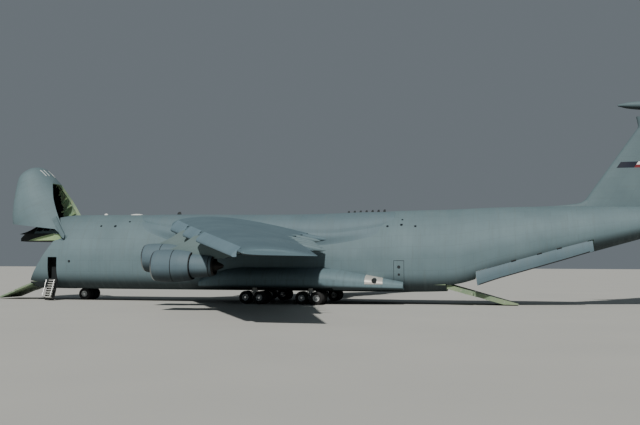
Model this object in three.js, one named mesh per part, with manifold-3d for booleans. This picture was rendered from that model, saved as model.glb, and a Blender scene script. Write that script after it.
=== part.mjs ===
// Large four engined military transport plane with a lifting nose visor, at half its real size.
// It kneels on its landing gear with the visor up and the aft cargo doors open.
//
// Every size below is that of the real aircraft in metres: x runs aft from the tip of the closed nose,
// y to the aircraft's right, z up from the ground. The finished group is scaled to half size in millimetres.

import * as THREE from 'three';
import { mergeVertices } from 'three/addons/utils/BufferGeometryUtils.js';
import Module from 'manifold-3d';

const wasm = await Module();
wasm.setup();

// Driving dimensions

const MODEL_SCALE = 0.5;
const MILLIMETRES = 1000 * MODEL_SCALE;
const MIDDLE_X = 38.3006;
const SEAM = 0.0012;
const RUNNING_GAP = 0.02;
const END_GAP = 0.07;
const RING_POINTS = 24;

const KEEL_Z = 1.15;
const FLOOR_Z = 2.0;
const HOLD_CEILING_Z = 6.0;
const HOLD_HALF_WIDTH = 2.89;
const HULL_WIDE_Z = 4.1;
const DOOR_GAP = 0.015;

const VISOR_HINGE = { x: 9.4, z: 6.6 };
const VISOR_OPEN_DEG = 64;
const VISOR_WALL = 0.2;
const RIM_LOW = { x: 5.25, z: 1.2 };
const RIM_HIGH = { x: 8.36, z: 6.1 };
const VISOR_TONGUE = { x: 9.12, low: 6.42, high: 6.78 };
const VISOR_TOP_Z = 6.9;
const FLIGHT_DECK_FLOOR_Z = 6.13;
const FLIGHT_DECK_WALL = 0.16;

const AFT_SLOPE = 0.281;
const RAMP_HINGE_X = 48.6;

const TYRE_RADIUS = 0.6225;
const TYRE_WIDTH = 0.43;
const WHEEL_SIDES = 12;
const NOSE_GEAR_X = 11.0;
const MAIN_GEAR_X = [30.45, 35.95];
const MAIN_GEAR_Y = 4.62;
const AXLE_REACH = 0.78;

const SIDES = [['left', -1], ['right', 1]];

// Paints and bare materials

const finish = (color, roughness, metalness) => new THREE.MeshStandardMaterial({ color, roughness, metalness });
const greyPaint = finish(0x82908f, 0.55, 0.1);
const darkPaint = finish(0x6d7b80, 0.55, 0.1);
const primer = finish(0x6f8f5a, 0.7, 0.0);
const bareMetal = finish(0x9a9c9c, 0.35, 0.9);
const gearPaint = finish(0xd5d8d6, 0.5, 0.1);
const tyreRubber = finish(0x1d1e1f, 0.85, 0.0);
const glazing = finish(0x1c2a33, 0.08, 0.0);

// Solids from geometries, and meshes from solids

function solid(geometry) {
  const bare = geometry.clone();
  bare.deleteAttribute('normal');
  bare.deleteAttribute('uv');
  const merged = mergeVertices(bare, 1e-5);
  const vertProperties = new Float32Array(merged.attributes.position.array);
  const triVerts = new Uint32Array(merged.index.array);
  const shape = new wasm.Manifold(new wasm.Mesh({ numProp: 3, vertProperties, triVerts }));
  return shape;
}

function surface(shape) {
  const mesh = shape.getMesh();
  const positions = new Float32Array(mesh.numVert * 3);
  for (let i = 0; i < mesh.numVert; i += 1) {
    for (let axis = 0; axis < 3; axis += 1) {
      positions[i * 3 + axis] = mesh.vertProperties[i * mesh.numProp + axis];
    }
  }
  const geometry = new THREE.BufferGeometry();
  geometry.setAttribute('position', new THREE.BufferAttribute(positions, 3));
  geometry.setIndex(new THREE.BufferAttribute(new Uint32Array(mesh.triVerts), 1));
  geometry.computeVertexNormals();
  return geometry;
}

const unite = (shapes) => shapes.reduce((whole, shape) => whole.add(shape));
const carve = (shape, cutters) => cutters.reduce((rest, cutter) => rest.subtract(cutter), shape);

const plane = new THREE.Group();
plane.scale.setScalar(MILLIMETRES);
plane.position.x = -MIDDLE_X * MILLIMETRES;

function addMesh(name, shape, material) {
  const mesh = new THREE.Mesh(surface(shape), material);
  mesh.name = name;
  plane.add(mesh);
  return mesh;
}

// A door or surface is shaped where it is shut, then turned about its hinge to where it stands
function addTurned(name, shape, material, hinge, axis, degrees) {
  const geometry = surface(shape);
  geometry.translate(-hinge[0], -hinge[1], -hinge[2]);
  const pivot = new THREE.Group();
  pivot.position.set(...hinge);
  pivot.quaternion.setFromAxisAngle(new THREE.Vector3(...axis).normalize(), THREE.MathUtils.degToRad(degrees));
  const mesh = new THREE.Mesh(geometry, material);
  mesh.name = name;
  pivot.add(mesh);
  plane.add(pivot);
  return mesh;
}

// Basic forms

// Rings of equally many [x, y, z] points, skinned in order and closed at both ends
function loft(rings) {
  const count = rings[0].length;
  const positions = rings.flat(2);
  const faces = [];
  for (let r = 0; r < rings.length - 1; r += 1) {
    for (let i = 0; i < count; i += 1) {
      const a = r * count + i;
      const b = r * count + ((i + 1) % count);
      faces.push(a, b, b + count, a, b + count, a + count);
    }
  }
  [0, rings.length - 1].forEach((r) => {
    const middle = positions.length / 3;
    for (let axis = 0; axis < 3; axis += 1) {
      positions.push(rings[r].reduce((sum, point) => sum + point[axis], 0) / count);
    }
    for (let i = 0; i < count; i += 1) {
      const a = r * count + i;
      const b = r * count + ((i + 1) % count);
      faces.push(...(r === 0 ? [b, a, middle] : [a, b, middle]));
    }
  });
  const geometry = new THREE.BufferGeometry();
  geometry.setAttribute('position', new THREE.Float32BufferAttribute(positions, 3));
  geometry.setIndex(signedVolume(positions, faces) < 0 ? faces.reverse() : faces);
  return solid(geometry);
}

function signedVolume(positions, faces) {
  const corner = (index) => new THREE.Vector3().fromArray(positions, index * 3);
  let volume = 0;
  for (let i = 0; i < faces.length; i += 3) {
    volume += corner(faces[i]).dot(corner(faces[i + 1]).cross(corner(faces[i + 2])));
  }
  return volume;
}

function block(x0, x1, y0, y1, z0, z1) {
  const geometry = new THREE.BoxGeometry(x1 - x0, y1 - y0, z1 - z0);
  geometry.translate((x0 + x1) / 2, (y0 + y1) / 2, (z0 + z1) / 2);
  return solid(geometry);
}

// A tapered block between two upright rectangles, each [x, yLow, yHigh, zLow, zHigh]
function wedge(first, second) {
  const ring = ([x, y0, y1, z0, z1]) => [[x, y0, z0], [x, y1, z0], [x, y1, z1], [x, y0, z1]];
  return loft([ring(first), ring(second)]);
}

// A side outline of [x, z] points given a width across y
function slab(outline, y0, y1) {
  const shape = new THREE.Shape(outline.map(([x, z]) => new THREE.Vector2(x, z)));
  const geometry = new THREE.ExtrudeGeometry(shape, { depth: y1 - y0, bevelEnabled: false });
  geometry.rotateX(Math.PI / 2);
  geometry.translate(0, y1, 0);
  return solid(geometry);
}

// A round bar between two points, with a radius at each end
function bar(from, to, radius, endRadius = radius, sides = 12) {
  const start = new THREE.Vector3(...from);
  const along = new THREE.Vector3(...to).sub(start);
  const geometry = new THREE.CylinderGeometry(endRadius, radius, along.length(), sides);
  geometry.translate(0, along.length() / 2, 0);
  geometry.applyQuaternion(new THREE.Quaternion().setFromUnitVectors(new THREE.Vector3(0, 1, 0), along.normalize()));
  geometry.translate(start.x, start.y, start.z);
  return solid(geometry);
}

// A profile of [along, radius] pairs turned about an axis that starts at a point
function turned(profile, origin, axis, sides) {
  const points = profile.map(([along, radius]) => new THREE.Vector2(radius, along));
  const geometry = new THREE.LatheGeometry(points, sides);
  const direction = new THREE.Vector3(...axis);
  geometry.applyQuaternion(new THREE.Quaternion().setFromUnitVectors(new THREE.Vector3(0, 1, 0), direction));
  geometry.translate(...origin);
  const bare = geometry.clone();
  bare.deleteAttribute('normal');
  bare.deleteAttribute('uv');
  const merged = mergeVertices(bare, 1e-5);
  const faces = dropThin(Array.from(merged.index.array));
  const positions = Array.from(merged.attributes.position.array);
  merged.setIndex(signedVolume(positions, faces) < 0 ? faces.reverse() : faces);
  return solid(merged);
}

function dropThin(faces) {
  const kept = [];
  for (let i = 0; i < faces.length; i += 3) {
    const [a, b, c] = faces.slice(i, i + 3);
    if (a !== b && b !== c && c !== a) kept.push(a, b, c);
  }
  return kept;
}

// Fuselage

// Columns: x, bottom z, top z, half width, power of the lower half, power of the upper half
const HULL = [
  [0.0, 4.3, 4.7, 0.2, 2.0, 2.0],
  [0.35, 3.45, 5.5, 1.1, 2.0, 2.0],
  [1.1, 2.7, 6.1, 1.9, 2.1, 2.0],
  [2.4, 2.0, 6.72, 2.62, 2.3, 2.0],
  [4.0, 1.5, 7.3, 3.12, 2.6, 1.9],
  [5.6, 1.27, 8.1, 3.4, 3.0, 1.8],
  [7.5, 1.17, 8.72, 3.53, 3.2, 1.75],
  [9.7, KEEL_Z, 8.95, 3.56, 3.3, 1.75],
  [16.5, KEEL_Z, 8.95, 3.56, 3.3, 1.75],
  [21.0, KEEL_Z, 8.66, 3.56, 3.3, 1.75],
  [37.0, KEEL_Z, 8.66, 3.56, 3.3, 1.75],
  [44.0, KEEL_Z, 9.12, 3.56, 3.3, 1.75],
  [48.5, 1.25, 9.22, 3.5, 3.2, 1.75],
  [53.7, 2.71, 9.5, 3.28, 2.8, 1.8],
  [59.0, 4.2, 9.6, 2.85, 2.5, 1.9],
  [64.0, 5.6, 9.6, 2.1, 2.2, 2.0],
  [68.0, 6.73, 9.5, 1.35, 2.0, 2.0],
  [70.3, 7.4, 9.2, 0.7, 2.0, 2.0],
];

const wideZ = (bottom, top) => Math.max(HULL_WIDE_Z, bottom + 0.42 * (top - bottom));

function hullRing(x, bottom, top, halfWidth, lowPower, highPower, middleZ = wideZ(bottom, top), middleY = 0) {
  const ring = [];
  for (let i = 0; i < RING_POINTS; i += 1) {
    const angle = (2 * Math.PI * (i + 0.5)) / RING_POINTS;
    const across = Math.cos(angle);
    const up = Math.sin(angle);
    const power = up > 0 ? highPower : lowPower;
    const height = up > 0 ? top - middleZ : middleZ - bottom;
    const y = middleY + halfWidth * Math.sign(across) * Math.abs(across) ** (2 / power);
    ring.push([x, y, middleZ + height * Math.sign(up) * Math.abs(up) ** (2 / power)]);
  }
  return ring;
}

// The hull outline moved in by a wall thickness, or out where the inset is negative
function hull(inset = 0) {
  const rows = HULL.filter((row) => row[3] - inset > 0.05);
  return loft(rows.map(([x, bottom, top, halfWidth, low, high]) => {
    const shift = x < 5 ? inset * (1 - x / 5) * 1.4 : 0;
    const middle = wideZ(bottom, top);
    return hullRing(x + shift, bottom + inset, top - inset, halfWidth - inset, low, high, middle);
  }));
}

const outerHull = hull();
const hullClear = hull(-SEAM);

// The side outline along which the visor meets the fuselage: a slanted rim with a tongue that reaches the hinge
const rimSlope = (RIM_HIGH.x - RIM_LOW.x) / (RIM_HIGH.z - RIM_LOW.z);
const rimX = (z) => RIM_LOW.x + (z - RIM_LOW.z) * rimSlope;

function aheadOfRim(offset) {
  const { x, low, high } = VISOR_TONGUE;
  const top = VISOR_TOP_Z + offset;
  const outline = [
    [-2, 0], [rimX(0) + offset, 0], [RIM_HIGH.x + offset, RIM_HIGH.z - 0.8 * offset],
    [x + offset, low - offset], [x + offset, high + offset], [7.9, top], [-2, top],
  ];
  return slab(outline, -5, 5);
}

// Cargo hold with chamfered upper corners, open at both ends of the section
function holdSpace(x0, x1) {
  const chamfer = 0.55;
  const half = HOLD_HALF_WIDTH;
  const ring = (x) => [
    [x, -half, FLOOR_Z - 0.1], [x, half, FLOOR_Z - 0.1], [x, half, HOLD_CEILING_Z - chamfer],
    [x, half - chamfer, HOLD_CEILING_Z], [x, chamfer - half, HOLD_CEILING_Z], [x, -half, HOLD_CEILING_Z - chamfer],
  ];
  return loft([ring(x0), ring(x1)]);
}

const JOINT_X = [19.5, 44.0];
const between = (x0, x1) => block(x0, x1, -6, 6, 0, 12);

// Forward fuselage with the flight deck over the nose opening, its windows and the crew door opening

const CREW_DOOR = { x0: 8.0, x1: 9.0, z0: 2.2, z1: 4.44 };
const crewDoorWay = block(CREW_DOOR.x0, CREW_DOOR.x1, -4.2, -2.7, CREW_DOOR.z0, CREW_DOOR.z1);
const NOSE_BAY = { radius: 1.5, top: 1.75 };
const noseBay = bar([NOSE_GEAR_X, 0, 0], [NOSE_GEAR_X, 0, NOSE_BAY.top], NOSE_BAY.radius, NOSE_BAY.radius, 20);

// Columns: x start, x end, z low, z high of the side windows
const SIDE_WINDOWS = [
  [5.75, 6.55, 7.18, 7.72],
  [6.7, 7.5, 7.2, 7.78],
  [7.65, 8.3, 7.25, 7.78],
];
// Columns: y low, y high of the windshield panes
const FRONT_WINDOWS = [[-1.75, -0.95], [-0.85, -0.05], [0.05, 0.85], [0.95, 1.75]];

const windowCuts = [
  ...SIDE_WINDOWS.map(([x0, x1, z0, z1]) => block(x0, x1, -4, 4, z0, z1)),
  ...FRONT_WINDOWS.map(([y0, y1]) => block(3.2, 5.55, y0, y1, 7.3, 7.85)),
];

// The space that the flight deck's lower edge sweeps about the visor's hinge, moved out by a clearance
function deckSweep(clearance) {
  const reach = [];
  for (let x = VISOR_HINGE.x - 0.2; x > 2.95; x -= 0.35) {
    const next = HULL.findIndex((row) => row[0] > x);
    const share = (x - HULL[next - 1][0]) / (HULL[next][0] - HULL[next - 1][0]);
    const [bottom, top, halfWidth, , power] = [1, 2, 3, 4, 5].map((column) =>
      HULL[next - 1][column] + share * (HULL[next][column] - HULL[next - 1][column]));
    const middle = wideZ(bottom, top);
    const across = halfWidth * (1 - ((VISOR_TOP_Z - middle) / (top - middle)) ** power) ** (1 / power);
    reach.push([across + 1.5 * clearance, Math.hypot(VISOR_HINGE.x - x, VISOR_TOP_Z - VISOR_HINGE.z) + clearance]);
  }
  const hub = reach[0][1];
  const half = [[2.92, 0], [2.92, hub], ...reach];
  const profile = [...half.map(([y, radius]) => [-y, radius]), ...half.reverse()];
  return turned(profile, [VISOR_HINGE.x, 0, VISOR_HINGE.z], [0, 1, 0], 60);
}

const flightDeckTub = deckSweep(-0.05).intersect(block(3.3, 9.3, -4, 4, FLIGHT_DECK_FLOOR_Z, VISOR_TOP_Z + 0.1));
const flightDeckSpace = hull(FLIGHT_DECK_WALL).intersect(block(3.6, 11.6, -4, 4, 6.5, 9.2));
const earClearance = SIDES.map(([, side]) => {
  const { x, z } = VISOR_HINGE;
  const recess = block(7.9, x, side > 0 ? 2.88 : -4.2, side > 0 ? 4.2 : -2.88, z - 0.38, z + 0.6);
  return recess
    .add(bar([x, 2.88 * side, z], [x, 4.2 * side, z], 0.46, 0.46, 16))
    .add(bar([x, 2.3 * side, z], [x, 4.2 * side, z], 0.36, 0.36, 16));
});

const forwardBody = outerHull.intersect(between(-1, JOINT_X[0] - SEAM)).subtract(aheadOfRim(DOOR_GAP));
const rampRecess = block(4.8, 6.05, -2.5, 2.5, 1.5, 2.1);
const forwardFuselage = carve(forwardBody.add(flightDeckTub), [
  holdSpace(4, JOINT_X[0] + 1),
  rampRecess,
  flightDeckSpace,
  crewDoorWay,
  noseBay,
  ...windowCuts,
  ...earClearance,
]);
addMesh('forward_fuselage', forwardFuselage, greyPaint);

const glassBand = hull(FLIGHT_DECK_WALL + SEAM)
  .subtract(hull(FLIGHT_DECK_WALL + 0.05))
  .intersect(block(3.6 + SEAM, 8.5, -4, 4, 7.05, 7.95));
addMesh('flight_deck_glass', glassBand, glazing);

// Nose visor, hollow, with a hinge ear on each side

const visorShell = outerHull.subtract(hull(VISOR_WALL)).intersect(aheadOfRim(-DOOR_GAP));
const visorEars = SIDES.map(([, side]) => {
  const plate = slab([[7.2, 6.25], [9.3, 6.27], [9.62, 6.4], [9.78, 6.6], [9.55, 6.8], [7.2, 6.75]], 0, 0.2);
  return plate.translate([0, side > 0 ? 2.9 : -3.1, 0]);
});

const visor = visorShell.subtract(deckSweep(0.04)).add(unite(visorEars));
addTurned('nose_visor', visor, greyPaint, [VISOR_HINGE.x, 0, VISOR_HINGE.z], [0, 1, 0], VISOR_OPEN_DEG);

// Centre and aft fuselage

const centreFuselage = outerHull
  .intersect(between(JOINT_X[0], JOINT_X[1] - SEAM))
  .subtract(holdSpace(JOINT_X[0] - 1, JOINT_X[1] + 1));
addMesh('centre_fuselage', centreFuselage, greyPaint);

const keelZ = (x) => 1.25 + AFT_SLOPE * (x - 48.5);
const PETAL = { x0: 51.3, x1: 62.0, hinge0: [51.3, 3.17, 3.2], hinge1: [62.0, 2.42, 6.2], inner0: 2.15, inner1: 1.25 };
const aftOpening = [
  holdSpace(JOINT_X[0], RAMP_HINGE_X + 0.1),
  wedge([RAMP_HINGE_X, -2.8, 2.8, 0, 6.0], [PETAL.x1, -1.95, 1.95, 0, 7.3]),
  wedge([PETAL.x0, -5, 5, 0, PETAL.hinge0[2]], [PETAL.x1, -5, 5, 0, PETAL.hinge1[2]]),
];
const aftFuselage = carve(outerHull.intersect(between(JOINT_X[1], 71)), aftOpening);
addMesh('aft_fuselage', aftFuselage, greyPaint);

const cargoFloor = block(6.1, RAMP_HINGE_X - 0.05, SEAM - HOLD_HALF_WIDTH, HOLD_HALF_WIDTH - SEAM,
  FLOOR_Z - 0.1 + SEAM, FLOOR_Z);
addMesh('cargo_floor', cargoFloor, primer);

// Aft cargo doors: ramp, pressure door, centre door and the two petal doors

const AFT_RAMP = { length: 6.9, thickness: 0.42, toe: 0.08, downDeg: 15.5 };
const aftRampHinge = [RAMP_HINGE_X, 0, FLOOR_Z];
const rampRoot = slab([
  [0.06, 0], [0.06, -0.12], [0.18, -AFT_RAMP.thickness], [2.6, -AFT_RAMP.thickness], [2.6, 0],
], -2.6, 2.6);
const rampTail = slab([
  [2.5, 0], [2.5, -AFT_RAMP.thickness], [5.6, -AFT_RAMP.thickness], [AFT_RAMP.length, -AFT_RAMP.toe], [AFT_RAMP.length, 0],
], -1.85, 1.85);
const aftRamp = rampRoot.add(rampTail).translate(aftRampHinge);
addTurned('aft_ramp', aftRamp, primer, aftRampHinge, [0, 1, 0], AFT_RAMP.downDeg);

const PRESSURE_DOOR = { x: 55.15, z: 6.1, height: 2.15 };
const pressureDoor = block(PRESSURE_DOOR.x - PRESSURE_DOOR.height, PRESSURE_DOOR.x, -2.1, 2.1, PRESSURE_DOOR.z - 0.1,
  PRESSURE_DOOR.z + 0.1);
addMesh('pressure_door', pressureDoor, primer);

const CENTRE_DOOR = { x0: 55.8, x1: 61.85, width0: 1.7, width1: 1.2, thickness: 0.22, openDeg: 13 };
const centreDoorHinge = [CENTRE_DOOR.x1, 0, keelZ(CENTRE_DOOR.x1) + 0.2];
const centreDoor = loft([[CENTRE_DOOR.x0, CENTRE_DOOR.width0], [CENTRE_DOOR.x1, CENTRE_DOOR.width1]].map(([x, half]) => {
  const low = keelZ(x) + 0.03;
  const high = low + CENTRE_DOOR.thickness;
  return [[x, -half, low], [x, half, low], [x, half, high], [x, -half, high]];
}));
addTurned('centre_door', centreDoor, greyPaint, centreDoorHinge, [0, 1, 0], CENTRE_DOOR.openDeg);

const PETAL_OPEN_DEG = 48;
const petalShell = outerHull.subtract(hull(0.2));
SIDES.forEach(([name, side]) => {
  const { x0, x1, hinge0, hinge1, inner0, inner1 } = PETAL;
  const across = (low, high) => (side > 0 ? [low, high] : [-high, -low]);
  const region = wedge(
    [x0 + 0.02, ...across(inner0, 5), 0, hinge0[2] - 0.02],
    [x1 - 0.12, ...across(inner1, 5), 0, hinge1[2] - 0.05],
  );
  const hinge = [hinge0[0], side * hinge0[1], hinge0[2]];
  const axis = [hinge1[0] - hinge0[0], side * (hinge1[1] - hinge0[1]), hinge1[2] - hinge0[2]];
  addTurned(`petal_door_${name}`, petalShell.intersect(region), greyPaint, hinge, axis, side * PETAL_OPEN_DEG);
});

// Forward loading ramp in two panels

const FRONT_RAMP = { x: 5.95, z: 1.98, panel: 2.6, extension: 2.4, thickness: 0.2, slopeDeg: -21.6 };
const slope = THREE.MathUtils.degToRad(FRONT_RAMP.slopeDeg);
const rampHinge = [FRONT_RAMP.x, 0, FRONT_RAMP.z];
const innerPanel = block(FRONT_RAMP.x - FRONT_RAMP.panel, FRONT_RAMP.x - 0.02, -2.25, 2.25,
  FRONT_RAMP.z - FRONT_RAMP.thickness, FRONT_RAMP.z);
addTurned('forward_ramp', innerPanel, primer, rampHinge, [0, 1, 0], FRONT_RAMP.slopeDeg);
const foldHinge = [
  FRONT_RAMP.x - FRONT_RAMP.panel * Math.cos(slope), 0, FRONT_RAMP.z + FRONT_RAMP.panel * Math.sin(slope),
];
const toe = -FRONT_RAMP.extension;
const outerPanel = slab([[toe, -0.05], [toe + 0.5, -0.18], [-0.02, -0.18], [-0.02, 0], [toe, 0]], -2.05, 2.05)
  .translate(foldHinge);
addTurned('forward_ramp_extension', outerPanel, primer, foldHinge, [0, 1, 0], FRONT_RAMP.slopeDeg);

// Crew entrance door, hinged on its sill, with the stair on its inner face

const DOOR_OPEN_DEG = 155;
const doorHinge = [(CREW_DOOR.x0 + CREW_DOOR.x1) / 2, -3.22, CREW_DOOR.z0];
const doorPanel = outerHull.subtract(hull(0.12)).intersect(block(CREW_DOOR.x0 + DOOR_GAP, CREW_DOOR.x1 - DOOR_GAP, -4.2, -2.7,
  CREW_DOOR.z0 + DOOR_GAP, CREW_DOOR.z1 - DOOR_GAP));
const STEPS = 8;
const steps = Array.from({ length: STEPS }, (_, i) => {
  const z = CREW_DOOR.z0 + 0.2 + i * 0.26;
  return block(CREW_DOOR.x0 + 0.2, CREW_DOOR.x1 - 0.2, -3.42, -3.06, z, z + 0.05);
});
addTurned('crew_door', unite([doorPanel, ...steps]), greyPaint, doorHinge, [1, 0, 0], DOOR_OPEN_DEG);

// Wings

// Points of an aerofoil of unit chord as [along, offset], from the trailing edge over the top and back
const CHORD_STEPS = [0, 0.012, 0.05, 0.13, 0.28, 0.5, 0.75, 1];

function aerofoil(thickness, camber) {
  const half = (u) => 5 * thickness * (0.2969 * Math.sqrt(u) - 0.126 * u - 0.3516 * u ** 2 + 0.2843 * u ** 3
    - 0.1036 * u ** 4) + 0.0015 * u;
  const line = (u) => camber * Math.sin(Math.PI * u);
  const upper = [...CHORD_STEPS].reverse().map((u) => [u, line(u) + half(u)]);
  const lower = CHORD_STEPS.slice(1).map((u) => [u, line(u) - half(u)]);
  return [...upper, ...lower];
}

// Columns: y, leading edge x and z, trailing edge x and z, thickness ratio
const WING = [
  [2.3, 20.93, 7.75, 35.35, 6.86, 0.12],
  [12.2, 26.2, 6.71, 35.75, 6.13, 0.115],
  [33.9, 37.8, 4.42, 42.5, 4.22, 0.105],
];

function wingSection(y, leadX, leadZ, trailX, trailZ, thickness) {
  const chord = trailX - leadX;
  return aerofoil(thickness, 0.018).map(([u, v]) => [leadX + u * chord, y, leadZ + u * (trailZ - leadZ) + v * chord]);
}

const wingRow = (y) => {
  const upper = WING.findIndex((row) => row[0] >= y);
  const [a, b] = [WING[upper - 1], WING[upper]];
  const part = (y - a[0]) / (b[0] - a[0]);
  return a.map((value, column) => value + part * (b[column] - value));
};

const rightWing = loft(WING.map((row) => wingSection(...row)));
const mirrored = (shape) => shape.mirror([0, 1, 0]);

// Wing to fuselage fairing. Columns as for the fuselage, then the height of the widest point
const FAIRING = [
  [17.2, 7.9, 8.86, 1.3, 2, 2, 8.2],
  [19.5, 7.0, 8.93, 2.9, 2, 2, 7.7],
  [22.5, 6.1, 8.92, 3.9, 2.2, 2, 7.3],
  [28.0, 5.8, 8.85, 4.3, 2.4, 2.2, 7.1],
  [33.0, 5.8, 8.83, 4.3, 2.4, 2.2, 6.9],
  [37.0, 6.0, 8.9, 3.7, 2.2, 2, 6.8],
  [41.0, 6.6, 9.02, 2.9, 2, 2, 7.2],
  [43.6, 7.2, 9.02, 1.9, 2, 2, 7.8],
];
const fairing = (grow) => loft(FAIRING.map(([x, low, high, half, lowPower, highPower, middle]) =>
  hullRing(x, low - grow, high + grow, half + grow, lowPower, highPower, middle)));
addMesh('wing_fairing', fairing(0).subtract(hullClear), greyPaint);
const rootClear = fairing(SEAM).add(hullClear);

// A control surface is cut off its wing behind a hinge line and gets a round nose in a round cove
function splitSurface(wing, hingeA, hingeB, radiusA, radiusB, region) {
  const beyond = 0.05;
  const stretch = (a, b) => a + (a - b) * beyond;
  const from = hingeA.map((value, axis) => stretch(value, hingeB[axis]));
  const to = hingeB.map((value, axis) => stretch(value, hingeA[axis]));
  const [first, last] = [stretch(radiusA, radiusB), stretch(radiusB, radiusA)];
  const nose = bar(from, to, first, last, 12);
  const cove = bar(from, to, first + RUNNING_GAP, last + RUNNING_GAP, 12);
  const moving = wing.intersect(region.inner).add(nose.intersect(region.inner.add(region.ahead)));
  const fixed = wing.subtract(region.outer).subtract(cove.intersect(region.outer.add(region.aheadOuter)));
  return { moving, fixed };
}

// The part of the wing behind its hinge line between two stations of the span
function spanRegion(y0, y1, part) {
  const prism = (gap, aft) => {
    const corners = [y0 + gap, y1 - gap].map((y) => {
      const [, leadX, , trailX] = wingRow(y);
      const hingeX = leadX + part * (trailX - leadX);
      return [y, hingeX, aft ? trailX + 1 : hingeX - 0.6];
    });
    return loft(corners.map(([y, a, b]) => [[a, y, 0], [b, y, 0], [b, y, 12], [a, y, 12]]));
  };
  return { inner: prism(END_GAP, true), ahead: prism(END_GAP, false), outer: prism(0, true), aheadOuter: prism(0, false) };
}

const AILERON = { y0: 24.2, y1: 32.2, part: 0.75 };
const hingePoint = (y, part) => {
  const [, leadX, leadZ, trailX, trailZ, thickness] = wingRow(y);
  const chord = trailX - leadX;
  const ring = aerofoil(thickness, 0.018).filter(([u]) => u === 0.75).map(([, v]) => v);
  const middle = (ring[0] + ring[1]) / 2;
  const half = (ring[0] - ring[1]) / 2;
  return { at: [leadX + part * chord, y, leadZ + part * (trailZ - leadZ) + middle * chord], half: half * chord };
};
const aileronRoot = hingePoint(AILERON.y0, AILERON.part);
const aileronTip = hingePoint(AILERON.y1, AILERON.part);
const splitWing = splitSurface(rightWing, aileronRoot.at, aileronTip.at, aileronRoot.half, aileronTip.half,
  spanRegion(AILERON.y0, AILERON.y1, AILERON.part));
SIDES.forEach(([name, side]) => {
  const place = (shape) => (side > 0 ? shape : mirrored(shape));
  addMesh(`wing_${name}`, place(splitWing.fixed).subtract(rootClear), darkPaint);
  addMesh(`aileron_${name}`, place(splitWing.moving), darkPaint);
});

// Engines on their pylons

// Columns: position name, y, lip x, axis z
const ENGINES = [
  ['outer', 19.1, 26.25, 3.6],
  ['inner', 12.2, 22.5, 4.27],
];
const COWL_RADIUS = 1.3;
const ENGINE_SIDES = 18;

// Each profile gives distance behind the lip and radius
const COWL_PROFILE = [
  [0, 1.12], [-0.02, 1.18], [0.12, 1.24], [0.7, COWL_RADIUS], [2.1, COWL_RADIUS], [3.2, 1.12],
  [3.2, 1.09], [2.2, 1.18], [0.9, 1.17], [0.3, 1.09], [0, 1.12],
];
const CORE_PROFILE = [
  [1.25, 0], [1.25, 0.42], [2.2, 0.8], [3.1, 0.86], [4.6, 0.62], [5.1, 0.5], [5.1, 0.44], [4.9, 0.36], [5.7, 0.12], [5.75, 0],
];
const VANES = 8;
const BLADES = 12;

function engineShape(x, y, z) {
  const cowl = turned(COWL_PROFILE, [x, y, z], [1, 0, 0], ENGINE_SIDES);
  const core = turned(CORE_PROFILE, [x, y, z], [1, 0, 0], ENGINE_SIDES);
  const vane = block(1.7, 2.2, -0.03, 0.03, 0.5, 1.2);
  const vanes = Array.from({ length: VANES }, (_, i) => vane.rotate([(360 * i) / VANES, 0, 0]).translate([x, y, z]));
  return unite([cowl, core, ...vanes]);
}

function fanShape(x, y, z) {
  const hub = turned([[0.35, 0], [0.45, 0.15], [0.8, 0.36], [1.15, 0.42], [1.2, 0.42], [1.2, 0]], [x, y, z], [1, 0, 0], 16);
  const blade = block(-0.16, 0.16, -0.015, 0.015, 0.3, 1.12).rotate([0, 0, 35]).translate([0.98, 0, 0]);
  const blades = Array.from({ length: BLADES }, (_, i) => blade.rotate([(360 * i) / BLADES, 0, 0]).translate([x, y, z]));
  return unite([hub, ...blades]);
}

// Side outline of a pylon, from the cowl up to the wing's leading edge and back under the wing
function pylonShape(x, y, z) {
  const [, leadX, leadZ] = wingRow(y);
  const outline = [
    [x + 1.0, z + 1.2], [x + 5.2, z + 0.3], [leadX + 5.2, leadZ - 0.75], [leadX + 5.0, leadZ], [leadX - 0.3, leadZ + 0.02],
  ];
  return slab(outline, y - 0.2, y + 0.2);
}

ENGINES.forEach(([position, y, lipX, z]) => {
  const engine = engineShape(lipX, y, z);
  const engineClear = unite([
    turned([[0.3, 0], [0.3, COWL_RADIUS], [2.1, COWL_RADIUS + SEAM], [3.2 + SEAM, 1.12 + SEAM], [3.2 + SEAM, 0]],
      [lipX, y, z], [1, 0, 0], ENGINE_SIDES),
    turned([[1.2, 0], [2.2, 0.8 + SEAM], [3.1, 0.86 + SEAM], [4.6, 0.62 + SEAM], [5.8, 0.4], [5.8, 0]],
      [lipX, y, z], [1, 0, 0], ENGINE_SIDES),
  ]);
  const wingClear = unite([rightWing, rightWing.translate([0, 0, -SEAM]), rightWing.translate([-SEAM, 0, 0])]);
  const pylon = carve(pylonShape(lipX, y, z), [wingClear, engineClear]);
  const fan = fanShape(lipX, y, z);
  SIDES.forEach(([name, side]) => {
    const place = (shape) => (side > 0 ? shape : mirrored(shape));
    addMesh(`engine_${position}_${name}`, place(engine), bareMetal);
    addMesh(`pylon_${position}_${name}`, place(pylon), greyPaint);
    addMesh(`fan_${position}_${name}`, place(fan), bareMetal);
  });
});

// Fin and rudders

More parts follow.
